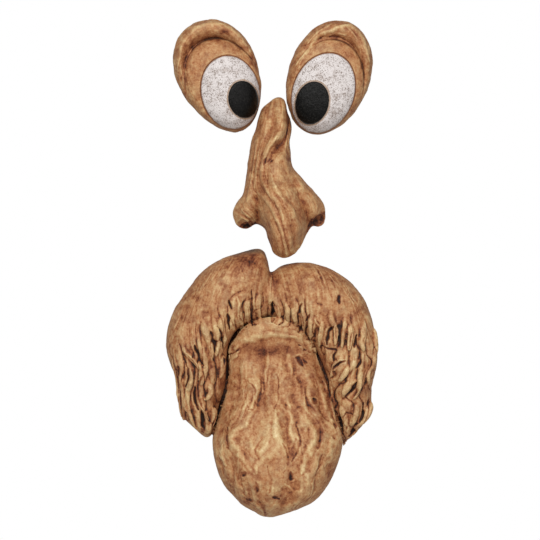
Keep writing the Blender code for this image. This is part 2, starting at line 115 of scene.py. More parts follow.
# The front was drawn on a sheet in units of 0.7 mm, across and down from its top left corner
drawing = {"unit": 0.0007, "origin": (272.0, 383.5)}  # the place of the part's origin on the sheet


def onWall(places):
    # Drawing units to metres on the wall: (place - origin) * unit, with down turned to up
    return (np.asarray(places, float) - drawing["origin"]) * (drawing["unit"], -drawing["unit"])


def drawnLine(numbers):
    # A line on the wall from its numbers: across, down, across, down and so on
    return onWall(np.reshape(numbers, (-1, 2)))


# A chart of the wall in small square cells
chart = {"low": (-0.090, -0.115), "cell": 0.0005, "size": (360, 770)}


def chartPlace(x, z):
    # Metres to cells from the chart's low corner: (place - low) / cell
    return (x - chart["low"][0]) / chart["cell"], (z - chart["low"][1]) / chart["cell"]


def chartIndex(x, z):
    # The number of the nearest cell, counted up each column in turn and kept inside the chart
    across, up = (np.rint(place).astype(int) for place in chartPlace(x, z))
    return np.clip(across, 0, chart["size"][0] - 1) * chart["size"][1] + np.clip(up, 0, chart["size"][1] - 1)


def neighbours(values):
    # The chart shifted by up to one cell each way, nine charts in all, with 0 beyond its edges
    wide = np.pad(values, 1)
    rows, columns = values.shape
    return [wide[i:i + rows, j:j + columns] for i in range(3) for j in range(3)]


def spreadOut(field, filled, rounds, fade=1.0):
    # Fills empty cells, which hold 0, ring by ring with fade times the mean of their filled neighbours
    for _ in range(rounds):
        near = sum(neighbours(filled.astype(float)))
        fresh = (near > 0) & ~filled
        field = np.where(fresh, sum(neighbours(field)) / np.maximum(near, 1) * fade, field)
        filled = filled | fresh
    return field, filled


def chartMean(x, z, values, spread, soften):
    # The mean of scattered values in each cell, spread outwards, then softened to its neighbours' mean
    cells = chart["size"][0] * chart["size"][1]
    index = chartIndex(x, z)
    count = np.bincount(index, minlength=cells).reshape(chart["size"])
    total = np.bincount(index, values, minlength=cells).reshape(chart["size"])
    filled = count > 0
    field, filled = spreadOut(total / np.maximum(count, 1), filled, spread)
    near = np.maximum(sum(neighbours(filled.astype(float))), 1)
    for _ in range(soften):
        field = np.where(filled, sum(neighbours(field)) / near, field)
    return field


def chartHighest(x, z, values, spread):
    # The highest of scattered values in each cell, spread outwards as the highest neighbour, or else 0
    field = np.zeros(chart["size"][0] * chart["size"][1])
    np.maximum.at(field, chartIndex(x, z), values)
    field = field.reshape(chart["size"])
    for _ in range(spread):
        field = np.where(field > 0, field, np.max(neighbours(field), axis=0))
    return field


def readChart(field, x, z):
    # The chart's value at any place, straight between the four cells round it
    across, up = chartPlace(x, z)
    across = np.clip(across, 0, chart["size"][0] - 1.001)
    up = np.clip(up, 0, chart["size"][1] - 1.001)
    i, j = np.floor(across).astype(int), np.floor(up).astype(int)
    p, q = across - i, up - j
    low = mix(field[i, j], field[i + 1, j], p)
    high = mix(field[i, j + 1], field[i + 1, j + 1], p)
    return mix(low, high, q)


def flowChart(guides):
    # Strand number and distance down the strand all over the wall. The guides are strands drawn one beside
    # the next: they are splined down and across, and carried on straight past the ends and the sides.
    down = np.linspace(0, 1, 24)
    lines = np.stack([spline(drawnLine(guide), down) for guide in guides])
    for axis in (0, 1):
        lines = np.moveaxis(lines, axis, 0)
        lines = np.concatenate((lines[:1] * 2 - lines[1:2], lines, lines[-1:] * 2 - lines[-2:-1]))
        lines = np.moveaxis(lines, 0, axis)
    across = np.linspace(0, 1, 60 * len(lines))
    sheet = np.moveaxis(spline(lines, across), 1, 0)
    sheet = spline(sheet, np.linspace(0, 1, 700))
    number = np.broadcast_to(across * (len(lines) - 1) - 1, sheet.shape[:2])
    length = np.cumsum(np.linalg.norm(np.diff(sheet, axis=0, prepend=sheet[:1]), axis=2), axis=0)
    x, z = sheet[..., 0].ravel(), sheet[..., 1].ravel()
    inside = (x > chart["low"][0]) & (x < -chart["low"][0]) & (z > chart["low"][1])
    keep = inside & (z < chart["low"][1] + chart["cell"] * chart["size"][1])
    return [chartMean(x[keep], z[keep], values.ravel()[keep], spread=60, soften=5)
            for values in (number, length)]


def strokeDepth(x, z, strokes):
    # How deep hand-cut strokes go. A stroke is its width in drawing units, its depth in millimetres, below
    # 0 where it is raised, and its line. Across it the depth falls off as (1 - (distance / reach)^2)^2,
    # where the reach is 0.75 of the width and narrows as a sine to both its ends.
    depth = np.zeros(len(x))
    for width, deep, *line in strokes:
        path = spline(drawnLine(line), np.linspace(0, 1, 3 * len(line)))
        reach = 0.75 * width * drawing["unit"]
        low, high = path.min(0) - reach, path.max(0) + reach
        near = np.nonzero((x > low[0]) & (x < high[0]) & (z > low[1]) & (z < high[1]))[0]
        if len(near) == 0:
            continue
        start, step = path[:-1], np.diff(path, axis=0)
        away = np.stack((x[near], z[near]), axis=1)[:, None, :] - start
        t = np.clip((away * step).sum(2) / np.maximum((step**2).sum(1), 1e-12), 0, 1)
        distance = np.linalg.norm(away - t[..., None] * step, axis=2)
        closest = distance.argmin(1)
        rows = np.arange(len(near))
        along = (closest + t[rows, closest]) / len(step)
        taper = 0.2 + 0.8 * np.sin(halfTurn * along) ** 0.6
        share = np.clip(1 - (distance[rows, closest] / (reach * taper)) ** 2, 0, 1) ** 2
        value = deep * millimetre * share * (0.4 + 0.6 * taper)
        depth[near] = np.maximum(depth[near], value) if deep > 0 else np.minimum(depth[near], value)
    return depth


def linked(obj):
    # Puts an object in the scene
    bpy.context.scene.collection.objects.link(obj)
    return obj


def meshObject(name, points, faces):
    # A linked object from points and faces: one array of corner numbers for each number of corners
    corners = np.concatenate([face.ravel() for face in faces]).astype(np.int32)
    sizes = np.concatenate([np.full(len(face), face.shape[1]) for face in faces])
    mesh = bpy.data.meshes.new(name)
    mesh.vertices.add(len(points))
    mesh.vertices.foreach_set("co", np.ascontiguousarray(points, np.float32).ravel())
    mesh.loops.add(len(corners))
    mesh.loops.foreach_set("vertex_index", corners)
    mesh.polygons.add(len(sizes))
    mesh.polygons.foreach_set("loop_start", np.r_[0, np.cumsum(sizes)[:-1]].astype(np.int32))
    mesh.update(calc_edges=True)
    return linked(bpy.data.objects.new(name, mesh))


def closedSkin(name, rings, turns, place):
    # A closed skin over place(t, turn): rings from pole to pole, points round each, and the sign of its
    # volume (a sixth of the sum of a . (b x c) over its triangles) says which way the faces are wound
    t = np.repeat(np.arange(1, rings) / rings, turns)
    turn = np.tile(np.arange(turns) / turns, rings - 1)
    points = np.stack(place(np.r_[0.0, t, 1.0], np.r_[0.0, turn, 0.0]), axis=-1)
    grid = 1 + np.arange((rings - 1) * turns).reshape(rings - 1, turns)
    after = np.roll(grid, -1, axis=1)
    quads = np.stack((grid[:-1], grid[1:], after[1:], after[:-1]), axis=-1).reshape(-1, 4)
    first = np.stack((np.zeros(turns, int), grid[0], after[0]), axis=-1)
    last = np.stack((np.full(turns, len(points) - 1), after[-1], grid[-1]), axis=-1)
    a, b, c = (points[quads[:, k]] for k in (0, 1, 2))
    if (a * np.cross(b, c)).sum() < 0:
        quads, first, last = quads[:, ::-1], first[:, ::-1], last[:, ::-1]
    return meshObject(name, points, (quads, np.concatenate((first, last))))


def settle(obj):
    # Makes the modifiers' result the mesh
    bpy.context.view_layer.update()
    graph = bpy.context.evaluated_depsgraph_get()
    mesh = bpy.data.meshes.new_from_object(obj.evaluated_get(graph))
    obj.modifiers.clear()
    obj.data = mesh


def castTogether(name, solids, cell):
    # One skin round overlapping closed solids: a level set sampled every cell
    shape = bmesh.new()
    for solid in solids:
        shape.from_mesh(solid.data)
        bpy.data.objects.remove(solid)
    mesh = bpy.data.meshes.new(name)
    shape.to_mesh(mesh)
    shape.free()
    obj = linked(bpy.data.objects.new(name, mesh))
    modifier = obj.modifiers.new("skin", "REMESH")
    modifier.mode = "VOXEL"
    modifier.voxel_size = cell
    settle(obj)
    return obj


def carve(obj, tool):
    # Takes the tool's space out of the object
    modifier = obj.modifiers.new("carve", "BOOLEAN")
    modifier.operation = "DIFFERENCE"
    modifier.solver = "EXACT"
    modifier.object = tool
    settle(obj)
    bpy.data.objects.remove(tool)


# The hole in each back that a nail's head goes into
socket = {"radius": 0.004, "depth": 0.012, "sides": 32}
mostTriangles = 196000  # in one casting


def flatBack(obj, middle):
    # Cuts the casting off on the wall plane and closes its back with one flat face round the hanging socket
    shape = bmesh.new()
    shape.from_mesh(obj.data)
    everything = list(shape.verts) + list(shape.edges) + list(shape.faces)
    bmesh.ops.bisect_plane(shape, geom=everything, plane_co=(0, 0, 0), plane_no=(0, 1, 0), clear_outer=True)
    rim = [edge for edge in shape.edges if edge.is_boundary]
    angles = fullTurn * np.arange(socket["sides"]) / socket["sides"]
    ring = np.stack((middle[0] + socket["radius"] * np.cos(angles), 0 * angles,
                     middle[1] + socket["radius"] * np.sin(angles)), axis=1)
    mouth = [shape.verts.new(point) for point in ring]
    floor = [shape.verts.new(point - (0, socket["depth"], 0)) for point in ring]
    for k in range(-1, socket["sides"] - 1):
        shape.faces.new((mouth[k], mouth[k + 1], floor[k + 1], floor[k]))
    shape.faces.new(floor)
    rim += [shape.edges.get((mouth[k], mouth[k + 1])) for k in range(-1, socket["sides"] - 1)]
    bmesh.ops.triangle_fill(shape, use_beauty=True, edges=rim, normal=(0, 1, 0))
    bmesh.ops.dissolve_degenerate(shape, edges=shape.edges, dist=1e-6)
    shape.normal_update()
    bmesh.ops.recalc_face_normals(shape, faces=shape.faces)
    shape.to_mesh(obj.data)
    shape.free()
    obj["socket"] = middle


def readPoints(mesh, what="co", parts="vertices"):
    # One row of three for every vertex, or for every face: its place, its normal or its centre
    items = getattr(mesh, parts)
    values = np.empty(len(items) * 3, np.float32)
    items.foreach_get(what, values)
    return values.reshape(-1, 3).astype(float)


def writePoints(mesh, points):
    # Moves every vertex to the place in its row
    mesh.vertices.foreach_set("co", points.astype(np.float32).ravel())
    mesh.update()


def writeValues(mesh, name, *columns):
    # Stores three values at every vertex, as a named attribute that the paint reads
    layer = mesh.attributes.new(name, "FLOAT_VECTOR", "POINT")
    layer.data.foreach_set("vector", np.stack(columns, axis=1).astype(np.float32).ravel())


def evened(mesh, values, rounds):
    # Each point's value becomes the mean of its neighbours' and its own, round after round
    edges = np.empty(len(mesh.edges) * 2, np.int32)
    mesh.edges.foreach_get("vertices", edges)
    a, b = edges.reshape(-1, 2).T
    count = len(values)
    near = np.bincount(a, minlength=count) + np.bincount(b, minlength=count) + 1.0
    for _ in range(rounds):
        total = np.stack([np.bincount(a, v[b], minlength=count) + np.bincount(b, v[a], minlength=count)
                          for v in values.T], axis=1)
        values = (total + values) / near[:, None]
    return values


def measureRelief(mesh, rounds, height):
    # How far each point stands out of its evened surface, along its normal, as a share of height
    points, normals = readPoints(mesh), readPoints(mesh, "normal")
    return ((points - evened(mesh, points, rounds)) * normals).sum(1) / height


def patchShare(x, z, patches):
    # Soft oval patches on the wall: the middle, half width and half height in drawing units, and the
    # strength. Each is a bell, strength * exp(-r^2). The strongest counts, and one below 0 is added to it.
    share = np.zeros(len(x))
    for across, down, wide, tall, strength in patches:
        cx, cz = onWall((across, down))
        spread = ((x - cx) / (wide * drawing["unit"])) ** 2 + ((z - cz) / (tall * drawing["unit"])) ** 2
        bell = strength * np.exp(-spread)
        share = np.maximum(share, bell) if strength > 0 else share + bell
    return share


def wandered(points, size, amount, seed):
    # Places on the wall shifted by noise, so that a stroke drawn on them wavers
    shift = amount * np.stack([noise(points / size, seed + k) for k in range(2)])
    return points[:, 0] + shift[0], points[:, 2] + shift[1]


def fromWall(obj, points):
    # How far in front of the wall each point is, -y, and 0 within the hanging socket's radius and depth
    away = np.hypot(points[:, 0] - obj["socket"][0], points[:, 2] - obj["socket"][1])
    inSocket = (away < socket["radius"] * 1.01) & (points[:, 1] > -socket["depth"] * 1.01)
    return np.where(inSocket, 0, -points[:, 1])


def measured(obj):
    # A casting's points and normals, and for its points the place on the wall and the distance from it
    points, normals = readPoints(obj.data), readPoints(obj.data, "normal")
    return points, normals, points[:, 0], points[:, 2], fromWall(obj, points)


def triangleCount(mesh):
    # A face of n corners is n - 2 triangles
    return len(mesh.loops) - 2 * len(mesh.polygons)


# What the paint follows: for fine and for deep relief the rounds of evening, the height that counts as
# whole, how far that moves the tone, and the most that it may darken and lighten it
finish = {"tone": 0.49, "fine": (5, 0.00012, 0.11, 0.20, 0.16), "deep": (45, 0.0009, 0.17, 0.26, 0.07),
          "bareRim": (0.0062, 0.0015)}  # how far from the wall the bare resin begins, and is whole


def finishShape(obj, grain, washAndPaintedLight, greyBrown, deepest=finish["deep"][3]):
    # Stores what the paint follows. Tone: dark in fine and deep hollows, light on what stands proud. Wash:
    # extra dark stain, which in the nostrils is also painted shade, or a pale rub where it is below 0, which
    # in the valley under the right brow is painted light. Grey-brown: the colour of unpainted resin, in the
    # patches given and in the last millimetres before the wall.
    mesh = obj.data
    mesh.polygons.foreach_set("use_smooth", fromWall(obj, readPoints(mesh, "center", "polygons")) > 1e-5)
    points = readPoints(mesh)
    tone = finish["tone"]
    deep = (*finish["deep"][:3], deepest, finish["deep"][4])
    for rounds, height, share, darkest, lightest in (finish["fine"], deep):
        tone = tone + np.clip(share * measureRelief(mesh, rounds, height), -darkest, lightest)
    waver = 0.0012 * layeredNoise(points / 0.008, 3, 51)
    wall = smoothStep(*finish["bareRim"], fromWall(obj, points) - waver)
    writeValues(mesh, "paint", tone, washAndPaintedLight, np.maximum(greyBrown, wall))
    writeValues(mesh, "grain", *grain.T)
    if triangleCount(mesh) > mostTriangles:
        # The edges that matter least are collapsed
        modifier = obj.modifiers.new("thinning", "DECIMATE")
        modifier.ratio = mostTriangles / triangleCount(mesh)
        settle(obj)
    print("finished", obj.name, "with", triangleCount(obj.data), "triangles")


# A casting with a carved front inside an outline, a flank that turns under, and a back behind the wall
relief = {"frontShare": 0.76, "flankShare": 0.92, "edgeShare": 0.26, "undercut": 0.0036, "behindWall": 0.006}


def reliefPlace(outline, centre, front, edge, foot):
    # Rings from the centre out to the outline at height front, down the flank from edge to foot, and in
    def place(t, turn):
        ox, oz = outline(turn)
        fx, fz = foot(turn)
        cx, cz = centre
        rho = np.sin(halfTurn / 2 * np.clip(t / relief["frontShare"], 0, 1)) ** 0.9
        x, z = mix(cx, ox, rho), mix(cz, oz, rho)
        w = mix(edge(turn), front(x, z, rho), np.sqrt(np.maximum(0, 1 - rho**9)))
        down = np.clip((t - relief["frontShare"]) / (relief["flankShare"] - relief["frontShare"]), 0, 1)
        inset = 1 - np.cos(halfTurn / 2 * down)
        back = np.clip((1 - t) / (1 - relief["flankShare"]), 0, 1)
        onFlank, behind = t > relief["frontShare"], t > relief["flankShare"]
        x = np.where(onFlank, mix(ox, fx, inset), x)
        z = np.where(onFlank, mix(oz, fz, inset), z)
        w = np.where(onFlank, mix(edge(turn), 0, down), w)
        x = np.where(behind, mix(cx, fx, back), x)
        z = np.where(behind, mix(cz, fz, back), z)
        w = np.where(behind, -relief["behindWall"], w)
        return x, -w, z

    return place


# Places on the mouth are shares of its width and height from its middle. Each station is one edge, the
# other edge and the height between them as a share of the depth.
mouthShape = {
    "width": 0.148, "height": 0.188, "depth": 0.048, "lipRadius": 0.0062, "foldDepth": 0.0011,
    "foldCount": 3.5, "sectionPower": 0.75, "endRound": 0.10, "cell": 0.00062, "socket": (0.0, 0.31),
    "underLip": (0.038, 0.045),  # how far a second, filling lip lies under the first and behind it
    "calmRounds": 220,
    "fullDepth": 0.97,  # past this share of the depth the carving is pressed in by half
}
leftHalf = (
    (0.005, 0.335, 0.015, 0.25, 0.5), (-0.036, 0.49, -0.047, 0.233, 0.68),
    (-0.151, 0.487, -0.137, 0.214, 0.82), (-0.293, 0.441, -0.194, 0.166, 0.84),
    (-0.393, 0.356, -0.213, 0.102, 0.8), (-0.478, 0.248, -0.215, 0.032, 0.76),
    (-0.5, 0.125, -0.227, -0.043, 0.7), (-0.449, 0.002, -0.251, -0.106, 0.62),
    (-0.435, -0.106, -0.27, -0.166, 0.52), (-0.36, -0.181, -0.289, -0.214, 0.4),
)
rightHalf = (
    (-0.065, 0.375, -0.07, 0.25, 0.5), (0.05, 0.44, 0.047, 0.225, 0.68), (0.18, 0.449, 0.132, 0.199, 0.82),
    (0.312, 0.411, 0.194, 0.151, 0.84), (0.421, 0.333, 0.227, 0.095, 0.8),
    (0.482, 0.214, 0.251, 0.035, 0.76), (0.5, 0.095, 0.274, -0.024, 0.7),
    (0.471, -0.024, 0.298, -0.08, 0.62), (0.468, -0.11, 0.322, -0.155, 0.52),
    (0.388, -0.199, 0.331, -0.225, 0.4),
)
chin = (
    (-0.132, 0.27, 0.114, 0.27, 0.36), (-0.199, 0.169, 0.199, 0.158, 0.5),
    (-0.22, 0.095, 0.227, 0.099, 0.54), (-0.22, -0.006, 0.279, 0.002, 0.66),
    (-0.251, -0.106, 0.312, -0.106, 0.8), (-0.281, -0.21, 0.336, -0.21, 0.93), (-0.267, -0.3, 0.31, -0.3, 1),
    (-0.229, -0.374, 0.267, -0.374, 0.95), (-0.161, -0.437, 0.199, -0.437, 0.8),
    (-0.076, -0.5, 0.057, -0.5, 0.5),
)
backing = (
    (-0.1, 0.4, 0.1, 0.4, 0.25), (-0.32, 0.31, 0.33, 0.31, 0.25), (-0.42, 0.11, 0.43, 0.11, 0.25),
    (-0.38, -0.08, 0.41, -0.08, 0.22), (-0.29, -0.2, 0.34, -0.2, 0.2),
)
lip = (
    (-0.205, 0.12, 0.415), (-0.125, 0.178, 0.52), (-0.01, 0.205, 0.55), (0.112, 0.192, 0.52),
    (0.208, 0.118, 0.415),
)
# Half an egg that fills the parting between the halves
philtrum = {"middle": (271, 293), "wide": 8.5, "tall": 20.5, "high": 0.0335}
# Locks that stand off the moustache: the width in drawing units, how far the tip lifts against the lock's
# own thickness, and the line from root to tip
locks = (
    (5, 0.2, 268, 294, 270, 306, 270, 316), (6.5, 0.25, 260, 288, 258, 304, 260, 322),
    (6.5, 0.2, 249, 290, 247, 305, 250, 326), (6.5, 0.25, 241, 297, 240, 312, 243, 331),
    (6, 0.1, 233, 308, 232, 319, 234, 331), (6.5, 0.3, 223, 305, 222, 322, 226, 343),
    (5.5, 0.3, 212, 305, 216, 325, 219, 340, 217, 356), (6.5, 0.15, 203, 303, 204, 322, 211, 344, 213, 360),
    (6, 0.25, 194, 310, 195, 330, 203, 350, 206, 370, 202, 384),
    (6, 0.45, 186, 326, 184, 346, 193, 358, 201, 368, 199, 380),
    (5.5, 0.35, 181, 338, 182, 353, 189, 366, 192, 380, 188, 391, 190, 404, 191, 417),
    (5.5, 0.3, 173, 345, 177, 360, 181, 372, 183, 388, 185, 403, 188, 412),
    (5.5, 0.2, 171, 344, 174, 360, 178, 378, 180, 398, 182, 413, 185, 419),
    (6, 0.1, 193, 366, 196, 380, 190, 391, 188, 404, 193, 420, 199, 431),
    (5, 0.35, 199, 378, 199, 394, 200, 405, 206, 413, 208, 424, 207, 432),
    (6.5, 0.35, 208, 374, 211, 385, 210, 394, 204, 399),
    (7.5, 0.2, 215, 389, 212, 402, 214, 413, 211, 424, 207, 434), (9, -0.1, 221, 352, 222, 365, 220, 378),
    (9, -0.25, 213, 360, 213, 372, 214, 384), (6.5, 0.25, 277, 292, 276, 304, 281, 321),
    (6, 0.2, 287, 296, 288, 310, 289, 324), (5, 0.25, 295, 300, 294, 314, 297, 326),
    (6.5, 0.2, 303, 300, 303, 314, 304, 331), (9, 0.3, 314, 302, 313, 320, 311, 330, 314, 346),
    (6, 0.3, 322, 302, 322, 320, 320, 335, 319, 349), (7, 0.45, 331, 302, 330, 316, 335, 330, 334, 345),
    (6.5, 0.3, 342, 302, 343, 320, 342, 334, 341, 347), (6.5, 0.5, 351, 305, 350, 322, 349, 338, 348, 350),
    (8, 0.35, 361, 310, 362, 328, 361, 342, 363, 350), (8, 0.2, 370, 314, 373, 332, 374, 352, 371, 369),
    (5.5, 0.3, 345, 353, 338, 359, 333, 367, 330, 379), (7, 0.2, 357, 350, 352, 362, 345, 372, 338, 381),
    (4.5, 0.55, 363, 352, 360, 366, 358, 380, 358, 391, 352, 399), (8.5, 0.15, 368, 362, 366, 374, 368, 384),
    (6.5, 0.25, 350, 374, 346, 386, 342, 397), (10, 0.1, 366, 386, 369, 400, 366, 414, 357, 426),
    (9, 0.15, 354, 398, 355, 412, 350, 426), (8, 0.1, 342, 398, 343, 412, 347, 426),
    (5.5, 0.2, 346, 416, 345, 431, 345, 446), (5, 0.1, 354, 420, 356, 429, 350, 436),
    (8, -0.2, 322, 349, 323, 365, 327, 385, 331, 401, 337, 418),
    (7, 0, 331, 378, 333, 392, 337, 408, 341, 424),
)
hairCuts = (
    (3, 3, 228.4, 299, 230.5, 304, 233, 309), (3.6, 3.6, 228.8, 313, 228.4, 322, 229.6, 329),
    (2.2, 1.4, 243, 301, 243.4, 309, 244.3, 317), (2.6, 1.8, 251.7, 289, 252.1, 308, 252.1, 325),
    (3.2, 3.2, 272.4, 301, 272.4, 308, 272.4, 315), (3.6, 3.8, 211.8, 331, 213, 337, 215, 343, 214.8, 352),
    (3, 3.4, 217, 326, 221.4, 331, 222.5, 340, 222.9, 349),
    (4.2, 4, 228.8, 337, 226.2, 357, 228, 368, 225.1, 381), (3.6, 3.2, 195.5, 344, 200.3, 356, 204.4, 364),
    (3.2, 3, 178.1, 364, 178.8, 369, 179.4, 375), (2.4, 1.6, 183.7, 350, 185.5, 358, 188.8, 368),
    (3, 2.8, 188.8, 367, 189.2, 376, 185.9, 386), (4.6, 4, 196.2, 385, 195, 393, 197, 402, 198.5, 409),
    (4.2, 3.4, 201.4, 409, 203.4, 421, 204.2, 431), (3.6, 3, 219.2, 401, 220.6, 406, 215.5, 420, 211, 430),
    (3.2, 2.8, 300.9, 303, 298, 313, 298.6, 323), (2.6, 2, 309, 313, 305.7, 322),
    (3.6, 3.6, 332.6, 325, 327.8, 332, 326.3, 344), (4.6, 1.6, 337.5, 294.5, 338.2, 303.5),
    (3.4, 3.4, 354.8, 334, 354.2, 341, 353, 347), (2, 0.7, 313, 269.5, 319.1, 273.3, 321, 279, 321.8, 284),
    (2, 0.7, 325, 278.7, 330.6, 282.5, 333.4, 288.5),
    (2.8, 2.4, 323.5, 346.5, 329.6, 348.4, 335, 349.5, 334, 354, 332.5, 360),
    (2.8, 2.2, 344.6, 360.3, 339, 361.5, 335.3, 364, 331.8, 370),
    (2.8, 2.2, 359.8, 351, 358.2, 361, 355.6, 367.5), (3.2, 2.6, 357, 380.6, 351, 387.5, 346.3, 394),
    (2.8, 2, 363.4, 400.5, 361.8, 414, 358, 422.6), (3.2, 2.8, 352.6, 428, 349.2, 436),
    (4.6, 4.4, 331, 405, 335, 414, 338.4, 423, 340.6, 432, 340.8, 446),
)
hairRidges = (
    (2.4, -0.7, 236.6, 297, 238.8, 304, 238.5, 312), (2.2, -0.5, 255, 292, 254.6, 304, 255, 316),
    (3, -0.9, 185.1, 351, 192.5, 356.5, 199.9, 365, 203, 370, 199.8, 376),
    (2.4, -0.9, 191, 366, 192.6, 380, 187, 391, 188.5, 398),
    (2.2, -0.9, 197.5, 386, 199.6, 403, 206, 412, 208.4, 424), (2.2, -0.8, 203, 402, 207, 409, 209.4, 411.5),
    (3, -1, 358.9, 379, 358.4, 389, 352.3, 398),
    (2.2, -0.8, 345, 358.6, 337.5, 359.6, 333, 364.5, 330.4, 370),
    (2.4, -0.8, 362.8, 353, 360.4, 364, 358.4, 374), (2.4, -0.8, 350.4, 421, 346.8, 430, 347.4, 437),
    (2.4, -0.7, 313.5, 318, 318, 324, 321, 331), (1.8, -0.4, 345.3, 294, 350, 299, 354.3, 305),
    (1.8, -0.4, 349.4, 293, 354, 298.6, 358, 305), (1.8, -0.4, 327.5, 274, 332.9, 281.5, 336, 286),
    (1.8, -0.4, 318, 270, 322, 275.6, 324.4, 283), (2.2, -0.7, 294.6, 306, 296, 314, 296.6, 321),
    (2, -0.7, 212.6, 337, 216, 345, 218, 352),
)
chinCuts = (
    (6, 1.5, 295.5, 356, 299, 360, 303, 366), (5, 1, 299, 358.5, 307.5, 362),
    (6, 1.8, 313.4, 396, 314.6, 403), (6, 1.2, 244, 467, 244, 473), (5, 1.2, 256, 478, 257, 489),
    (4, 1.1, 245, 496, 253, 499), (4, 1, 272, 493, 280, 497), (5, 1.2, 290, 468, 291, 478),
    (8, 1.7, 306, 397, 311, 414, 318, 429, 317, 446), (5, 1.2, 321, 380, 328, 404, 335, 428),
    (2.6, 1, 308, 405, 309.4, 409, 311, 413), (2, 0.6, 247.6, 379.6, 255, 388, 253.4, 406, 248, 408),
    (1.8, 0.4, 246.5, 384, 245.4, 396, 249, 407), (4, 1.2, 228, 425, 227, 436, 228.5, 447),
    (2.6, 0.6, 240, 470, 243, 486, 250, 500), (2.6, 0.7, 268, 462, 271, 478, 269, 490),
    (2.6, 0.7, 296, 420, 299, 440, 292, 458), (2.2, 0.5, 262, 436, 256, 448, 259, 458),
    (2.2, 0.5, 276, 372, 278, 390, 275, 408), (3, 0.8, 322, 452, 318, 466, 310, 480),
    (2.6, 0.7, 234, 404, 229, 420), (2.4, 0.6, 283, 440, 288, 456, 283, 470),
)
chinRidges = (
    (8, -1.2, 258, 389, 248, 418, 235, 430, 231.5, 440, 240, 452, 254.5, 470),
    (8, -1.2, 276, 408, 276, 428, 280, 442, 269, 453, 258, 461, 256, 470),
    (9, -1.5, 304, 404, 312, 415, 314, 433, 306, 454, 301, 470), (4, -0.4, 268, 350, 266, 372, 262, 392),
    (7, -0.7, 287, 400, 292, 424, 290, 446), (8, -1.1, 331, 436, 331, 450, 324, 464),
    (8, -0.8, 262, 425, 254, 440, 258, 452, 268, 440), (5, -0.8, 222, 428, 220, 446, 226, 464),
    (2.4, -0.4, 243, 410, 238, 424), (2.6, -0.5, 284, 480, 292, 488, 300, 486),
    (6.5, -0.9, 231, 352, 246, 340.5, 268.5, 334.5, 296, 337),
)
# Soft patches: the middle, half width and half height in drawing units, and the strength
lipPatches = (
    (250, 350, 22, 9, 1.5), (270, 346, 26, 9, 1.5), (295, 350, 22, 9, 1.5), (231, 356, 10, 10, 1.4),
    (314, 356, 10, 10, 1.4),
)
partingPatches = (
    (271, 286, 7, 12, 1), (270, 296, 6, 6, 0.7),
)
mouthStains = (
    (222, 283, 46, 16, 0.15), (320, 282, 46, 16, 0.15), (250, 261, 15, 9, 0.85), (238, 270, 16, 8, 0.5),
    (262, 268, 5, 8, 0.5), (196, 297, 5, 4, 0.55), (222, 283, 7, 5, 0.35), (232, 272, 9, 5, 0.3),
    (186, 316, 5, 7, 0.25), (290, 264, 12, 5, 0.5), (276, 279, 5, 5, 0.7), (337.6, 300, 3, 7, 0.6),
    (300, 287, 4, 8, 0.35), (286, 288, 3, 6, 0.35), (352, 316, 8, 7, 0.35), (358, 312, 5, 10, 0.3),
    (330, 270, 8, 4, 0.3), (253, 322, 4, 4, 0.5), (270, 311, 5, 5, 0.6), (216, 370, 6, 12, 0.5),
    (222, 383, 5, 6, 0.6), (198, 392, 3, 9, 0.7), (203, 418, 3, 10, 0.6), (204, 384, 4, 6, 0.4),
    (186, 413, 3, 6, 0.5), (213, 400, 6, 10, 0.35), (323, 366, 5, 16, 0.5), (328, 392, 4, 12, 0.5),
    (371, 366, 3, 9, 0.4), (362, 366, 2.5, 8, 0.5), (361, 386, 4, 5, 0.5), (352, 386, 5, 6, 0.3),
    (345, 434, 4, 8, 0.4), (356, 430, 8, 5, 0.3), (240, 347, 8, 4, 0.35), (268, 350, 28, 5.5, 0.6),
    (262, 343, 7, 5, 0.3), (284, 350, 14, 5, 0.5), (301, 361, 8, 6, 0.6), (296, 378, 10, 9, 0.35),
    (313, 398, 6, 10, 0.55), (320, 424, 5, 22, 0.45), (316, 375, 6, 14, 0.4), (227, 436, 3, 11, 0.6),
    (244, 470, 4, 4, 0.6), (256, 484, 3, 5, 0.6), (290, 474, 3, 6, 0.6), (276, 495, 6, 3, 0.5),
    (249, 498, 6, 3, 0.6), (236, 386, 5, 8, 0.3), (251, 394, 4, 11, 0.3), (302, 445, 4, 14, 0.3),
    (331, 474, 5, 10, 0.3), (300, 494, 9, 5, 0.35), (232, 484, 6, 8, 0.3),
)
mouthGreyEdge = (  # grey-brown along the top edge of the left half
    (250, 250.5, 14, 3, 0.9), (238, 253, 8, 2.5, 0.5),
)
mouthPale = (
    (262, 436, 15, 20, 0.4), (250, 336, 14, 3, 0.1), (285, 333, 18, 3, 0.1), (300, 470, 8, 12, 0.25),
    (250, 380, 8, 14, 0.2), (225, 445, 4, 12, 0.2), (328, 440, 6, 14, 0.2), (352, 360, 16, 30, 0.15),
)
roughStart = (165, 350, 185, 344, 210, 318, 235, 290, 262, 298, 300, 300, 330, 314, 350, 325, 368, 342,
              380, 350)  # where the smooth hair ends: across, down, across, down and so on
leftGuides = (
    (269, 282, 271, 300, 272, 318), (262, 268, 258, 290, 258, 310, 257, 322),
    (252, 262, 245, 282, 241, 305, 240, 330), (243, 258, 232, 280, 226, 305, 224, 335, 225, 360),
    (232, 260, 218, 285, 208, 315, 212, 345, 215, 380, 212, 410),
    (218, 268, 203, 292, 196, 320, 200, 355, 200, 390, 204, 425),
    (203, 283, 189, 312, 184, 340, 190, 375, 190, 405, 195, 428),
    (190, 303, 177, 330, 177, 365, 182, 400, 186, 420), (178, 322, 169, 345, 173, 372, 179, 410),
)
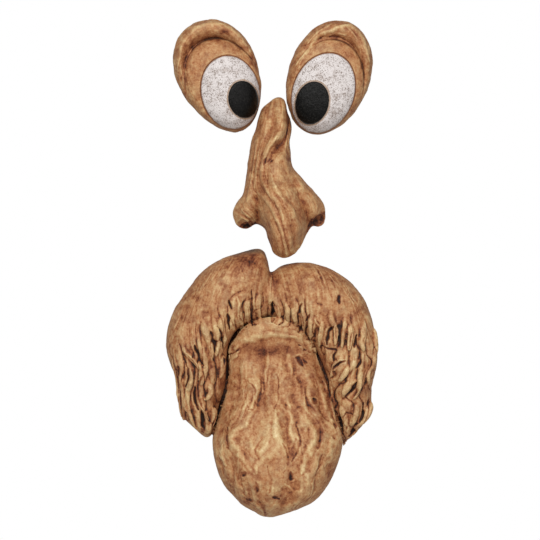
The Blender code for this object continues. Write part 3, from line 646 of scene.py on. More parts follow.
rightGuides = (
    (273, 282, 274, 300, 276, 318), (280, 270, 286, 290, 288, 308, 288, 322),
    (290, 264, 298, 285, 301, 305, 302, 328), (302, 262, 311, 282, 313, 305, 313, 344),
    (314, 264, 325, 285, 328, 310, 324, 345, 324, 380),
    (326, 270, 338, 292, 343, 318, 341, 350, 334, 375, 333, 405),
    (338, 280, 350, 304, 355, 330, 354, 360, 348, 390, 344, 420, 345, 444),
    (350, 293, 362, 318, 366, 345, 364, 375, 362, 405, 355, 430),
    (361, 310, 372, 335, 377, 358, 373, 385, 372, 405, 360, 428),
)
chinGuides = (
    (231, 352, 228, 372, 222, 398, 216, 425, 216, 455, 222, 482, 232, 500),
    (240, 345, 238, 372, 236, 400, 230, 430, 229, 460, 235, 488, 243, 507),
    (252, 338, 250, 372, 247, 400, 245, 430, 243, 460, 250, 490, 256, 512),
    (265, 335, 264, 372, 263, 400, 262, 430, 262, 460, 264, 490, 265, 514),
    (280, 335, 281, 372, 282, 400, 284, 430, 284, 460, 281, 490, 276, 512),
    (295, 338, 298, 372, 301, 400, 305, 430, 306, 460, 300, 488, 290, 505),
    (307, 345, 311, 372, 316, 400, 322, 425, 324, 455, 316, 485, 303, 502),
    (316, 352, 321, 372, 327, 395, 335, 420, 339, 450, 332, 478, 314, 500),
)


def mouthPoint(across, up):
    # Shares of the mouth's width and height to metres
    return across * mouthShape["width"], up * mouthShape["height"]


def longBody(stations, folds=0.0):
    # A long body between two edges: a superellipse across, rounded at its ends, reaching behind the wall
    def place(t, turn):
        along = (1 - np.cos(halfTurn * t)) / 2
        toEnd = np.clip(np.minimum(along, 1 - along) / mouthShape["endRound"], 0, 1)
        girth = np.sqrt(1 - (1 - toEnd) ** 2)
        ax, az, bx, bz, high = spline(stations, along).T
        (ax, az), (bx, bz), high = mouthPoint(ax, az), mouthPoint(bx, bz), high * mouthShape["depth"]
        angle = fullTurn * turn
        q = signedPower(np.cos(angle), mouthShape["sectionPower"]) * girth
        rise = signedPower(np.sin(angle), mouthShape["sectionPower"]) * girth
        x, z = mix(ax, bx, (1 + q) / 2), mix(az, bz, (1 + q) / 2)
        middle = relief["edgeShare"] * high
        sway = 0.9 * np.sin(2.5 * fullTurn * along)
        fold = folds * np.cos(fullTurn * mouthShape["foldCount"] * q / 2 + sway)
        front = middle + (high - middle + fold) * rise
        w = np.where(rise >= 0, front, middle + (middle + relief["behindWall"]) * rise)
        return x, -w, z

    return place


def lipPlace(t, turn, drop=0.0, sink=0.0):
    # An oval tube along the lip's stations: its radius is the square root of a sine from end to end
    across, up, high = (spline(lip, t) - (0, drop, sink)).T
    x, z = mouthPoint(across, up)
    ring = mouthShape["lipRadius"] * np.sin(halfTurn * t) ** 0.5
    angle = fullTurn * turn
    w = high * mouthShape["depth"] + 0.72 * ring * np.sin(angle)
    return x, -w, z + 1.35 * ring * np.cos(angle)


def philtrumPlace(t, turn):
    # Half an egg lying on the wall: a half circle turned round its own length
    x, z = onWall(philtrum["middle"])
    reach = np.sin(halfTurn * t)
    dx = philtrum["wide"] * drawing["unit"] * np.cos(halfTurn * t)
    dz = philtrum["tall"] * drawing["unit"] * reach * np.cos(fullTurn * turn)
    w = philtrum["high"] * reach * np.sin(fullTurn * turn)
    return x + dx, -np.maximum(w, -relief["behindWall"]), z + dz


def heightChart(places, spread):
    # How far out the front of some bodies stands over the wall
    t, turn = (values.ravel() for values in np.meshgrid(np.linspace(0, 1, 500), np.linspace(0, 1, 900)))
    x, y, z = (np.concatenate(values) for values in zip(*(place(t, turn) for place in places)))
    return chartHighest(x, z, np.maximum(-y, 0), spread)


def lockPlace(ground, start, width, lift, *line):
    # A round-backed lock on its line: it sinks into the hair at its root and its tip lifts off. Its girth
    # opens as the square root of the way along and closes as (1 - t^2.6)^0.75.
    line = drawnLine(line)
    half = width / 2 * drawing["unit"]

    def place(t, turn):
        along = mix(start, 1, mix(t, (1 - np.cos(halfTurn * t)) / 2, 0.5))
        x, z = spline(line, along).T
        ahead, behind = spline(line, along + 0.02), spline(line, along - 0.02)
        way = ahead - behind
        way = way / np.maximum(np.linalg.norm(way, axis=1), 1e-9)[:, None]
        girth = np.sqrt(np.clip(t / 0.25, 0, 1)) * (1 - t**2.6) ** 0.75
        sink = mix(-1.0, 0.1 + lift, smoothStep(0.0, 0.75, along)) * half
        angle = fullTurn * turn
        side = half * girth * np.cos(angle)
        w = readChart(ground, x, z) + sink + 0.95 * half * girth * np.sin(angle)
        return x - way[:, 1] * side, -np.maximum(w, 0.003), z + way[:, 0] * side

    return place


def makeMouth():
    # All its bodies in one skin, moved along their normals by strands on the hair and by folds on the chin
    rolls = (longBody(leftHalf), longBody(rightHalf))
    chinBody = longBody(chin, mouthShape["foldDepth"])
    # The locks lie on the rolls' heights, carried on past the rolls' edges for those that hang over them
    ground = heightChart(rolls, 14)
    ground = np.maximum(spreadOut(ground, ground > 0, 30, 0.93)[0], 0.004)
    solids = [closedSkin("chin", 160, 160, chinBody), closedSkin("backing", 60, 60, longBody(backing))]
    solids += [closedSkin("half", 150, 120, roll) for roll in rolls]
    solids += [closedSkin("lip", 70, 40, lipPlace), closedSkin("philtrum", 40, 48, philtrumPlace)]
    solids.append(closedSkin("underLip", 70, 40, lambda t, turn: lipPlace(t, turn, *mouthShape["underLip"])))
    # Every lock starts a different way down its line, so that the fringe has no straight edge
    for k, lock in enumerate(locks):
        solids.append(closedSkin("lock", 22, 14, lockPlace(ground, 0.35 * (0.37 * k % 1), *lock)))
    obj = castTogether("mouth_casting", solids, mouthShape["cell"])
    flatBack(obj, mouthPoint(*mouthShape["socket"]))
    points, normals, x, z, w = measured(obj)
    chinHeight = readChart(heightChart((chinBody, lipPlace), 2), x, z)
    near, wide = (readChart(heightChart(rolls + (philtrumPlace,), cells), x, z) > 0.001 for cells in (2, 12))
    above = w - chinHeight
    hair = np.maximum(near * smoothStep(-0.0020, -0.0004, above), wide * smoothStep(0.0012, 0.0024, above))
    hair = np.maximum(hair, chinHeight < 0.001)
    numbers, lengths = [], []
    for guides in (leftGuides, rightGuides, chinGuides):
        number, length = flowChart(guides)
        numbers.append(readChart(number, x, z))
        lengths.append(readChart(length, x, z) / millimetre)
    side = x > onWall((271.5, 0))[0]
    number, length = np.where(side, numbers[1] + 40, numbers[0]), np.where(side, lengths[1], lengths[0])
    down = drawing["origin"][1] - z / drawing["unit"]
    facing = smoothStep(0.0, 0.6, -normals[:, 1])
    amount = smoothStep(0.0, 0.004, w)

    # The crease under the lip and the parting are filled and rubbed smooth
    calmed = (1 - hair) * patchShare(x, z, lipPatches) + patchShare(x, z, partingPatches)
    calmed = (np.clip(calmed, 0, 1) * smoothStep(0.002, 0.005, w))[:, None]
    points = mix(points, evened(obj.data, points, mouthShape["calmRounds"]), calmed)

    # Hair: rounded strands that wind and lie over one another, each at its own height, over broad waves.
    # They deepen below the smooth band. A strand's crown is the half circle sqrt(4f(1 - f)) of the share f
    # of the way across it.
    grain = np.stack((number * 7.0, length, 0 * number), axis=1)
    column = drawing["origin"][0] + x / drawing["unit"]
    start = np.interp(column, roughStart[::2], roughStart[1::2]) + 8 * noise(points / 0.008, 20)
    rough = smoothStep(-12, 14, down - start)
    strand = number * 1.15 + 0.9 * streaks(grain, 0.10, 0.055, 21)
    strand += (0.20 + 0.30 * side) * rough * noise(points / 0.0075, 22)
    share = strand - np.floor(strand)
    crown = np.sqrt(4 * share * (1 - share)) - 0.7
    own = noise(np.stack((np.floor(strand) * 3.7, length * 0.06, 0 * number), axis=1), 23)
    split = 1 - np.abs(np.sin(halfTurn * (strand * 2.3 + 0.8 * streaks(grain, 0.3, 0.12, 29)))) ** 0.8
    waves = streaks(grain, 0.16, 0.05, 27)
    fine = streaks(grain, 0.85, 0.08, 24) + 0.6 * streaks(grain, 1.7, 0.15, 25)
    lumps = layeredNoise(points / 0.0065, 3, 26)
    hairLift = mix(0.00008, 0.00130, rough) * crown + mix(0.00005, 0.00080, rough) * own
    hairLift += 0.0004 * waves + mix(0.00012, 0.00018, rough) * fine + 0.0006 * lumps
    hairLift -= mix(0.00004, 0.00022, rough) * split

    # Chin: soft folds and faint wandering grooves down the grain
    chinGrain = np.stack((numbers[2] * 9.0, lengths[2], 5 + 0 * number), axis=1)
    bend = streaks(chinGrain, 0.09, 0.045, 31) * 0.9 + 0.4 * streaks(chinGrain, 0.2, 0.10, 35)
    chinGrain[:, 0] += 5 * bend
    folds = streaks(chinGrain, 0.16, 0.045, 36) + 0.5 * streaks(chinGrain, 0.33, 0.08, 37)
    lines = 1 - np.abs(np.sin(halfTurn * (numbers[2] * 1.9 + 2.2 * bend))) ** 0.8
    lines *= smoothStep(-0.2, 0.6, streaks(chinGrain, 0.12, 0.035, 38))
    chinFine = streaks(chinGrain, 0.7, 0.06, 32) + 0.6 * streaks(chinGrain, 1.5, 0.12, 33)
    knobs = layeredNoise(points / 0.011, 4, 34)
    chinLift = 0.00110 * folds - 0.00018 * lines + 0.00010 * chinFine + 0.0013 * knobs
    chinLift *= mix(0.45, 1.0, smoothStep(0.0, 0.012, onWall((0, 356))[1] - z))

    lift = amount * facing * mix(chinLift, hairLift, hair) + amount * (1 - facing) * 0.0004 * lumps
    wx, wz = wandered(points, 0.004, 0.0009, 63)
    uneven = 0.85 + 0.35 * noise(points / 0.004, 65)
    cut = hair * strokeDepth(wx, wz, hairCuts) + (1 - hair) * strokeDepth(wx, wz, chinCuts)
    raised = hair * strokeDepth(wx, wz, hairRidges) + (1 - hair) * strokeDepth(wx, wz, chinRidges)
    cut, raised = cut * uneven * mix(1, 0.75, hair), raised * uneven
    points = points + normals * lift[:, None]
    carved = points[:, 1] + (cut + raised) * facing * amount
    # What stood before the wall stays before it, and what stands past the depth is pressed in
    points[:, 1] = np.minimum(carved, np.where(w > 0.0005, -0.0005, points[:, 1]))
    points[:, 1] += 0.5 * np.maximum(0, -points[:, 1] - mouthShape["fullDepth"] * mouthShape["depth"])
    writePoints(obj.data, points)
    washAndPaintedLight = np.clip(cut / 0.007 + raised / 0.005, -0.3, 0.5)
    washAndPaintedLight += patchShare(x, z, mouthStains) - patchShare(x, z, mouthPale)
    washAndPaintedLight += 0.40 * hair * rough * facing * (0.3 - crown).clip(0, 1)
    finishShape(obj, np.where(hair[:, None] > 0.5, grain, chinGrain), washAndPaintedLight, patchShare(x, z, mouthGreyEdge))
    return obj


# Places on the nose are shares of its width, from its middle, and of its height, down from its top
noseShape = {"width": 0.0645, "height": 0.1127, "depth": 0.046, "shift": 0.0049, "dip": 0.0063,
             "nostrilFloor": 0.22, "gap": 0.0004, "cell": 0.00046, "socket": (-0.08, -0.36),
             "middle": (0.0, -0.56), "footMiddle": (0.0, -0.45), "foldedDown": -0.76}
noseTop = mouthShape["height"] / 2 - noseShape["dip"] + noseShape["height"]
noseOutline = (
    (-0.03, 0), (-0.12, -0.035), (-0.195, -0.075), (-0.235, -0.14), (-0.26, -0.205), (-0.305, -0.275),
    (-0.33, -0.355), (-0.35, -0.435), (-0.365, -0.515), (-0.39, -0.6), (-0.455, -0.65), (-0.5, -0.715),
    (-0.46, -0.79), (-0.36, -0.82), (-0.25, -0.787), (-0.155, -0.815), (-0.11, -0.885), (-0.06, -0.965),
    (0.045, -1), (0.165, -0.975), (0.24, -0.92), (0.3, -0.855), (0.36, -0.805), (0.435, -0.8),
    (0.495, -0.775), (0.505, -0.71), (0.455, -0.635), (0.36, -0.57), (0.24, -0.495), (0.15, -0.43),
    (0.125, -0.34), (0.115, -0.275), (0.135, -0.21), (0.13, -0.145), (0.094, -0.08), (0.07, -0.02),
    (0.03, 0),
)
# The strands that twist down the nose: across, down, half width (share of width), height (share of depth)
noseStrands = (
    (
        (0.01, -0.015, 0.10, 0.42), (0.02, -0.11, 0.10, 0.54), (0.005, -0.20, 0.10, 0.61),
        (-0.07, -0.28, 0.10, 0.66), (-0.14, -0.36, 0.11, 0.65), (-0.20, -0.44, 0.11, 0.60),
    ),
    (
        (-0.09, -0.04, 0.14, 0.40), (-0.13, -0.14, 0.15, 0.53), (-0.17, -0.25, 0.15, 0.59),
        (-0.22, -0.38, 0.15, 0.60), (-0.25, -0.52, 0.16, 0.60), (-0.31, -0.62, 0.18, 0.54),
        (-0.35, -0.71, 0.17, 0.48),
    ),
    (
        (0.08, -0.20, 0.11, 0.44), (0.04, -0.32, 0.15, 0.58), (-0.04, -0.41, 0.19, 0.72),
        (-0.05, -0.53, 0.22, 0.84), (0.00, -0.66, 0.26, 0.94), (0.05, -0.80, 0.27, 1.00),
        (0.05, -0.92, 0.22, 0.94),
    ),
    (
        (0.02, -0.40, 0.12, 0.62), (0.12, -0.50, 0.16, 0.62), (0.24, -0.60, 0.18, 0.60),
        (0.37, -0.70, 0.16, 0.50),
    ),
)
# The hollows under the wings: middle, half length and half height as shares of the width, and tilt
nostrils = ((-0.315, -0.818, 0.125, 0.080, math.radians(4)), (0.445, -0.788, 0.165, 0.100, math.radians(42)))
noseGuides = (  # how the grain runs, strand by strand from left to right
    (262, 105, 256, 130, 251, 160, 246, 182, 239, 196, 237, 206, 243, 214, 253, 222, 262, 236, 270, 252),
    (267, 102, 261, 128, 256, 155, 252, 178, 248, 195, 250, 206, 258, 216, 266, 230, 273, 245, 278, 256),
    (273, 98, 270, 120, 264, 145, 258, 165, 256, 182, 260, 197, 267, 210, 274, 225, 280, 241, 283, 253),
    (280, 97, 281, 118, 275, 140, 266, 158, 264, 175, 270, 192, 278, 206, 284, 222, 288, 237, 290, 249),
    (288, 106, 289, 122, 284, 145, 276, 160, 275, 176, 282, 192, 290, 205, 295, 219, 297, 232, 297, 243),
    (292, 116, 291, 136, 288, 155, 287, 170, 292, 184, 299, 195, 304, 206, 306, 217, 305, 228, 303, 238),
    (294, 124, 294, 142, 297, 160, 302, 174, 308, 185, 315, 195, 320, 203, 322, 210, 322, 217, 320, 224),
)
noseCuts = (  # width in drawing units, depth in millimetres, and the line as across, down, across, down ...
    (2.6, 0.6, 297, 190, 300, 200, 302, 212), (2.4, 0.5, 287, 190, 291, 200, 295, 212),
    (4, 0.5, 262, 156, 265, 160, 264, 166), (4, 0.6, 271.4, 160.4, 272.6, 162.6),
    (3, 0.5, 289, 158.5, 289, 161.5),
    (6, 0.7, 287.5, 99, 289.5, 115, 289, 129, 283, 141, 274, 153, 267, 163),
    (2.2, 0.4, 268, 170, 267, 184, 273, 199, 278, 214), (2.4, 0.4, 262, 105, 260, 120, 258, 138),
    (2.4, 0.5, 309, 193, 314, 202, 315, 212), (2.2, 0.4, 303, 186, 311, 196, 319, 206),
    (2.4, 0.5, 242, 210, 250, 216, 257, 224), (2.2, 0.4, 240, 214, 247, 219),
    (2.2, 0.4, 255, 196, 262, 208, 270, 222), (2.2, 0.4, 252, 168, 252, 184, 258, 197),
)
noseRidges = (
    (5.5, -1.1, 281.5, 98, 284, 112, 283.5, 126, 277, 139, 269, 150, 263, 160),
    (2.2, -0.4, 277.6, 205, 281.6, 215, 284, 226), (2.4, -0.4, 246, 208, 255, 216, 263, 228),
    (2.6, -0.5, 292, 168, 299, 181, 308, 193), (2.4, -0.4, 270, 172, 276, 190, 286, 206, 291, 222),
    (2.2, -0.4, 296, 196, 303, 204, 306, 216), (2.4, -0.3, 258, 150, 252, 166, 250, 182),
)
noseStains = (
    (262, 128, 4, 9, 0.5), (266, 112, 4, 6, 0.35), (272, 161.5, 3, 3, 0.5), (264, 160, 5, 4, 0.35),
    (289, 160, 3, 3, 0.5), (287, 118, 2.5, 18, 0.6), (262, 183, 6, 8, 0.35), (252, 165, 5, 8, 0.25),
    (278, 243, 12, 8, 0.35), (290, 228, 6, 10, 0.3), (300, 214, 3, 9, 0.4), (250, 226, 7, 3, 0.6),
    (281, 148, 6, 5, 0.2),
)
nosePale = (
    (283, 112, 3, 14, 0.35), (276, 141, 4, 6, 0.3), (292, 206, 10, 14, 0.25), (318, 205, 8, 8, 0.3),
    (244, 214, 8, 6, 0.3), (291, 172, 7, 9, 0.2),
)
noseFlank = (287, 96, 287.5, 110, 288.5, 124, 291.5, 134, 296, 140)  # right of it the bridge is bare


def nosePoint(across, down):
    # Shares of the nose's width and height to metres: its shift or its top plus the share times the measure
    return noseShape["shift"] + across * noseShape["width"], noseTop + down * noseShape["height"]


def eyeEdge(eye, z):
    # How near the nose the egg's outline comes at each height, and nothing (a far value) above and below it
    x0, z0 = eyeMiddle(eye)
    dx, dz = eggOffset(eye, np.arange(721) / 720)
    inner = eye["side"] * dx < 0.3 * dx.max()
    order = np.argsort(dz[inner])
    reach = np.interp(z - z0, dz[inner][order], dx[inner][order])
    outside = (z - z0 < dz.min()) | (z - z0 > dz.max())
    return np.where(outside, eye["side"] * 1.0, x0 + reach)


def strandHeight(stations, x, z):
    # The highest of the round humps sqrt(1 - d^2) along the strand's middle line
    best = np.zeros(np.shape(x))
    for across, down, halfWidth, high in spline(stations, np.linspace(0, 1, 40)):
        sx, sz = nosePoint(across, down)
        away = np.hypot(x - sx, z - sz) / (halfWidth * noseShape["width"])
        best = np.maximum(best, high * np.sqrt(np.maximum(0, 1 - away * away)))
    return best


def noseFront(x, z, rho):
    # The strands' fifth powers summed, so that each keeps its ridge and shares its foot with the next
    total = 0.30**5 + sum(strandHeight(strand, x, z) ** 5 for strand in noseStrands)
    return noseShape["depth"] * np.minimum(1.0, total**0.2)


def makeNose():
    # The strands in relief, hollowed under the wings, moved along their normals by folds, grooves and lumps
    def outline(turn):
        x, z = nosePoint(*spline(noseOutline, turn - 0.25, closed=True).T)
        x = np.minimum(x, eyeEdge(rightEye, z) - noseShape["gap"])
        return np.maximum(x, eyeEdge(leftEye, z) + noseShape["gap"]), z

    def droop(z):
        return smoothStep(0.78, 0.96, (noseTop - z) / noseShape["height"])

    def edge(turn):
        return mix(0.20, 0.60, droop(outline(turn)[1])) * noseShape["depth"]

    def foot(turn):
        x, z = outline(turn)
        middleX, middleZ = nosePoint(*noseShape["footMiddle"])
        inward = relief["undercut"] / np.hypot(x - middleX, z - middleZ)
        x, z = mix(x, middleX, inward), mix(z, middleZ, inward)
        return x, mix(z, nosePoint(0.0, noseShape["foldedDown"])[1], 0.8 * droop(z))

    middle = nosePoint(*noseShape["middle"])
    body = closedSkin("nose_casting", 150, 220, reliefPlace(outline, middle, noseFront, edge, foot))
    for across, down, long, tall, tilt in nostrils:
        def hollow(t, turn):
            # A tool that takes the front off under a wing and leaves the nostril's floor
            px, pz = nosePoint(across, down)
            ring = np.sin(halfTurn * t) ** 0.5
            a = long * noseShape["width"] * ring * np.cos(fullTurn * turn)
            b = tall * noseShape["width"] * ring * np.sin(fullTurn * turn)
            w = mix(noseShape["nostrilFloor"], 1.0, (1 + np.cos(halfTurn * t)) / 2) * noseShape["depth"]
            x = px + a * math.cos(tilt) - b * math.sin(tilt)
            return x, -w, pz + a * math.sin(tilt) + b * math.cos(tilt)

        carve(body, closedSkin("nostril", 24, 40, hollow))
    obj = castTogether("nose_casting", [body], noseShape["cell"])
    flatBack(obj, nosePoint(*noseShape["socket"]))
    points, normals, x, z, w = measured(obj)
    number, length = flowChart(noseGuides)
    number, length = readChart(number, x, z), readChart(length, x, z)
    grain = np.stack((number * 6.0, length / millimetre, 0 * number), axis=1)
    bend = streaks(grain, 0.10, 0.045, 11) * 0.55
    folds = np.cos(fullTurn * (number * 0.9 + 1.4 * bend + 0.2))
    wavered = number * 2.7 + 2.2 * bend + 0.4 * streaks(grain, 0.3, 0.1, 12)
    lines = 1 - np.abs(np.sin(halfTurn * wavered)) ** 0.8
    lines *= smoothStep(-0.2, 0.6, streaks(grain, 0.14, 0.035, 16))
    fine = streaks(grain, 0.9, 0.085, 13) + 0.6 * streaks(grain, 1.9, 0.16, 14)
    lumps = layeredNoise(points / 0.009, 4, 15)
    facing = smoothStep(0.05, 0.6, -normals[:, 1])
    amount = smoothStep(0.0, 0.004, w)
    lift = amount * (facing * (0.00040 * folds - 0.00016 * lines + 0.00013 * fine) + 0.00060 * lumps)
    wx, wz = wandered(points, 0.004, 0.0007, 62)
    cut, raised = (strokeDepth(wx, wz, strokes) * facing * amount for strokes in (noseCuts, noseRidges))
    points = points + normals * lift[:, None]
    points[:, 1] += cut + raised
    writePoints(obj.data, points)
    washAndPaintedLight = np.clip(cut / 0.005 + raised / 0.002, -0.5, 0.4)
    washAndPaintedLight += patchShare(x, z, noseStains) - patchShare(x, z, nosePale)
    # Under each wing the nostril's floor is darkened almost to black: dark wash and painted shade in the
    # hollow
    for across, down, long, tall, tilt in nostrils:
        px, pz = nosePoint(across, down)
        a = ((x - px) * math.cos(tilt) + (z - pz) * math.sin(tilt)) / (long * noseShape["width"])
        b = ((z - pz) * math.cos(tilt) - (x - px) * math.sin(tilt)) / (tall * noseShape["width"])
        inside = 1 - smoothStep(0.92, 1.12, np.hypot(a, b))
        washAndPaintedLight = np.maximum(washAndPaintedLight, 0.95 * inside * (1 - smoothStep(0.018, 0.026, w)))
    # The right flank of the bridge is coloured grey-brown
    flank = drawnLine(noseFlank)
    edgeX = spline(flank[:, 0], np.clip((flank[0, 1] - z) / (flank[0, 1] - flank[-1, 1]), 0, 1))
    greyBrown = smoothStep(0.0, 0.0012, x - edgeX) * (z > flank[-1, 1])
    finishShape(obj, grain, washAndPaintedLight, greyBrown)
    return obj


# Places on an eye are shares of its half length, u across it and v along it towards its blunt, upper end.
# Stains, with one patch of painted light among them, are patches, and crests are strokes.
eyeShape = {
    "width": 0.057, "length": 0.0826, "depth": 0.029, "gap": 0.0176, "shift": 0.0011, "overNose": 0.0141,
    "ballProud": 0.0010, "ballBulge": 0.0026, "pupilProud": 0.0011,
    "lidMiddle": (0.01, -0.19), "lidSize": (0.625, 0.825), "browCrest": 0.90, "browWidth": 0.34,
    "lidTop": 0.93, "browHeight": 0.95, "browFoot": 0.30, "leftFill": 0.13, "socket": (0.0, 0.15),
    "rings": 320, "turns": 280,
}
leftEye = {
    "side": -1, "rise": 0.0010, "lidEdge": 0.58, "tilt": math.radians(-23.5), "taper": 0.134,
    "ball": (0.063, -0.348), "ballSize": (0.500, 0.626), "ballTilt": math.radians(11.5),
    "pupil": (0.213, -0.550), "pupilSize": (0.256, 0.315), "pupilTilt": math.radians(15),
    "stainsAndPaintedLight": ((196, 46, 9, 5, 0.5), (212, 40, 12, 3, 0.6), (236, 49, 10, 5, 0.5), (225, 33, 4, 2, 0.6),
               (186, 60, 3, 14, 0.5), (186, 88, 2, 12, 0.5), (253, 64, 5, 10, 0.4), (189, 34, 6, 5, 0.3)),
    "crests": ((4, -0.5, 178, 72, 182, 48, 192, 33, 208, 25, 226, 27, 241, 39, 251, 54),
               (3, -0.4, 181, 66, 183, 80, 188, 94), (3, -0.3, 205, 27, 214, 24.5)),
}
# The right eye's patch of strength -0.5 at (335, 50) is painted light: it lifts the shade in the valley under
# the brow
rightEye = {
    "side": 1, "rise": 0.0, "lidEdge": 0.67, "tilt": math.radians(19.8), "taper": 0.05,
    "ball": (0.007, -0.294), "ballSize": (0.525, 0.694), "ballTilt": math.radians(1),
    "pupil": (-0.113, -0.526), "pupilSize": (0.285, 0.365), "pupilTilt": math.radians(-6),
    "stainsAndPaintedLight": ((330, 37, 14, 3, 0.4), (345, 44, 8, 3, 0.6), (300, 55, 5, 9, 0.2), (318, 30, 8, 4, 0.3),
               (362, 66, 3, 12, 0.3), (335, 50, 20, 6, -0.5), (335, 24, 12, 3, 0.35), (355, 34, 6, 5, 0.4)),
    "crests": ((4, -0.7, 295.7, 67, 308, 50, 321, 36, 345.5, 27, 353, 29, 361, 37, 366, 50, 369, 62),
               (2.4, -0.4, 306, 47, 318, 33, 332, 25), (2.4, -0.4, 298, 70, 303, 58, 309, 51),
               (2.4, -0.4, 344, 26, 352, 33, 357, 41), (2.4, -0.4, 322, 39, 334, 34, 345, 36)),
}
halfLength = eyeShape["length"] / 2


def turned(eye, u, v):
    # The egg's own axes to the wall's: turned clockwise by its tilt
    c, s = math.cos(eye["tilt"]), math.sin(eye["tilt"])
    return u * c + v * s, v * c - u * s


def eggOffset(eye, turn, inset=0.0):
    # A blunt egg: the cosine across grows with the sine along
    angle = fullTurn * turn
    u = (eyeShape["width"] / 2 - inset) * np.cos(angle) * (1 + eye["taper"] * np.sin(angle))
    v = (eyeShape["length"] / 2 - inset) * np.sin(angle)
    return turned(eye, u, v)


def eyeMiddle(eye):
    # Half the gap and the egg's own reach away from the middle, and a measure over the nose's top
    reach = (-eye["side"] * eggOffset(eye, np.arange(120) / 120)[0]).max()
    x = eyeShape["shift"] + eye["side"] * (eyeShape["gap"] / 2 + reach)
    return x, noseTop + eyeShape["overNose"] + eye["rise"]


def fromEgg(eye, u, v):
    # The egg's own place to the wall's: turned, then moved to its middle
    (x, z), (dx, dz) = eyeMiddle(eye), turned(eye, u, v)
    return x + dx, z + dz


def toEgg(eye, x, z):
    # The wall's place to the egg's own: moved back from its middle, then turned back
    mx, mz = eyeMiddle(eye)
    c, s = math.cos(eye["tilt"]), math.sin(eye["tilt"])
    return (x - mx) * c - (z - mz) * s, (x - mx) * s + (z - mz) * c


def ovalEdge(eye, key, x, z):
    # Millimetres outside an oval of the eye, negative inside, and the share of the way out to its edge
    u, v = toEgg(eye, x, z)
    du, dv = u / halfLength - eye[key][0], v / halfLength - eye[key][1]
    c, s = math.cos(eye[key + "Tilt"]), math.sin(eye[key + "Tilt"])
    a, b = du * c - dv * s, du * s + dv * c
    share = np.sqrt((a / eye[key + "Size"][0]) ** 2 + (b / eye[key + "Size"][1]) ** 2)
    reach = np.hypot(a, b) / np.maximum(share, 1e-6) * halfLength
    return (share - 1) * reach / millimetre, share


def lidHeight(eye, u, v):
    # The lid's height, from its edge to its top by the square root of 1 - r^2 over its oval, and that
    # 1 - r^2
    across = (u / halfLength - eyeShape["lidMiddle"][0]) / eyeShape["lidSize"][0]
    along = (v / halfLength - eyeShape["lidMiddle"][1]) / eyeShape["lidSize"][1]
    inside = 1 - across**2 - along**2
    dome = np.sqrt(np.maximum(0, inside))
    low = eye["lidEdge"] + eyeShape["leftFill"] * smoothStep(0.1, -0.55, u / halfLength)
    return mix(low, eyeShape["lidTop"], dome) * eyeShape["depth"], inside


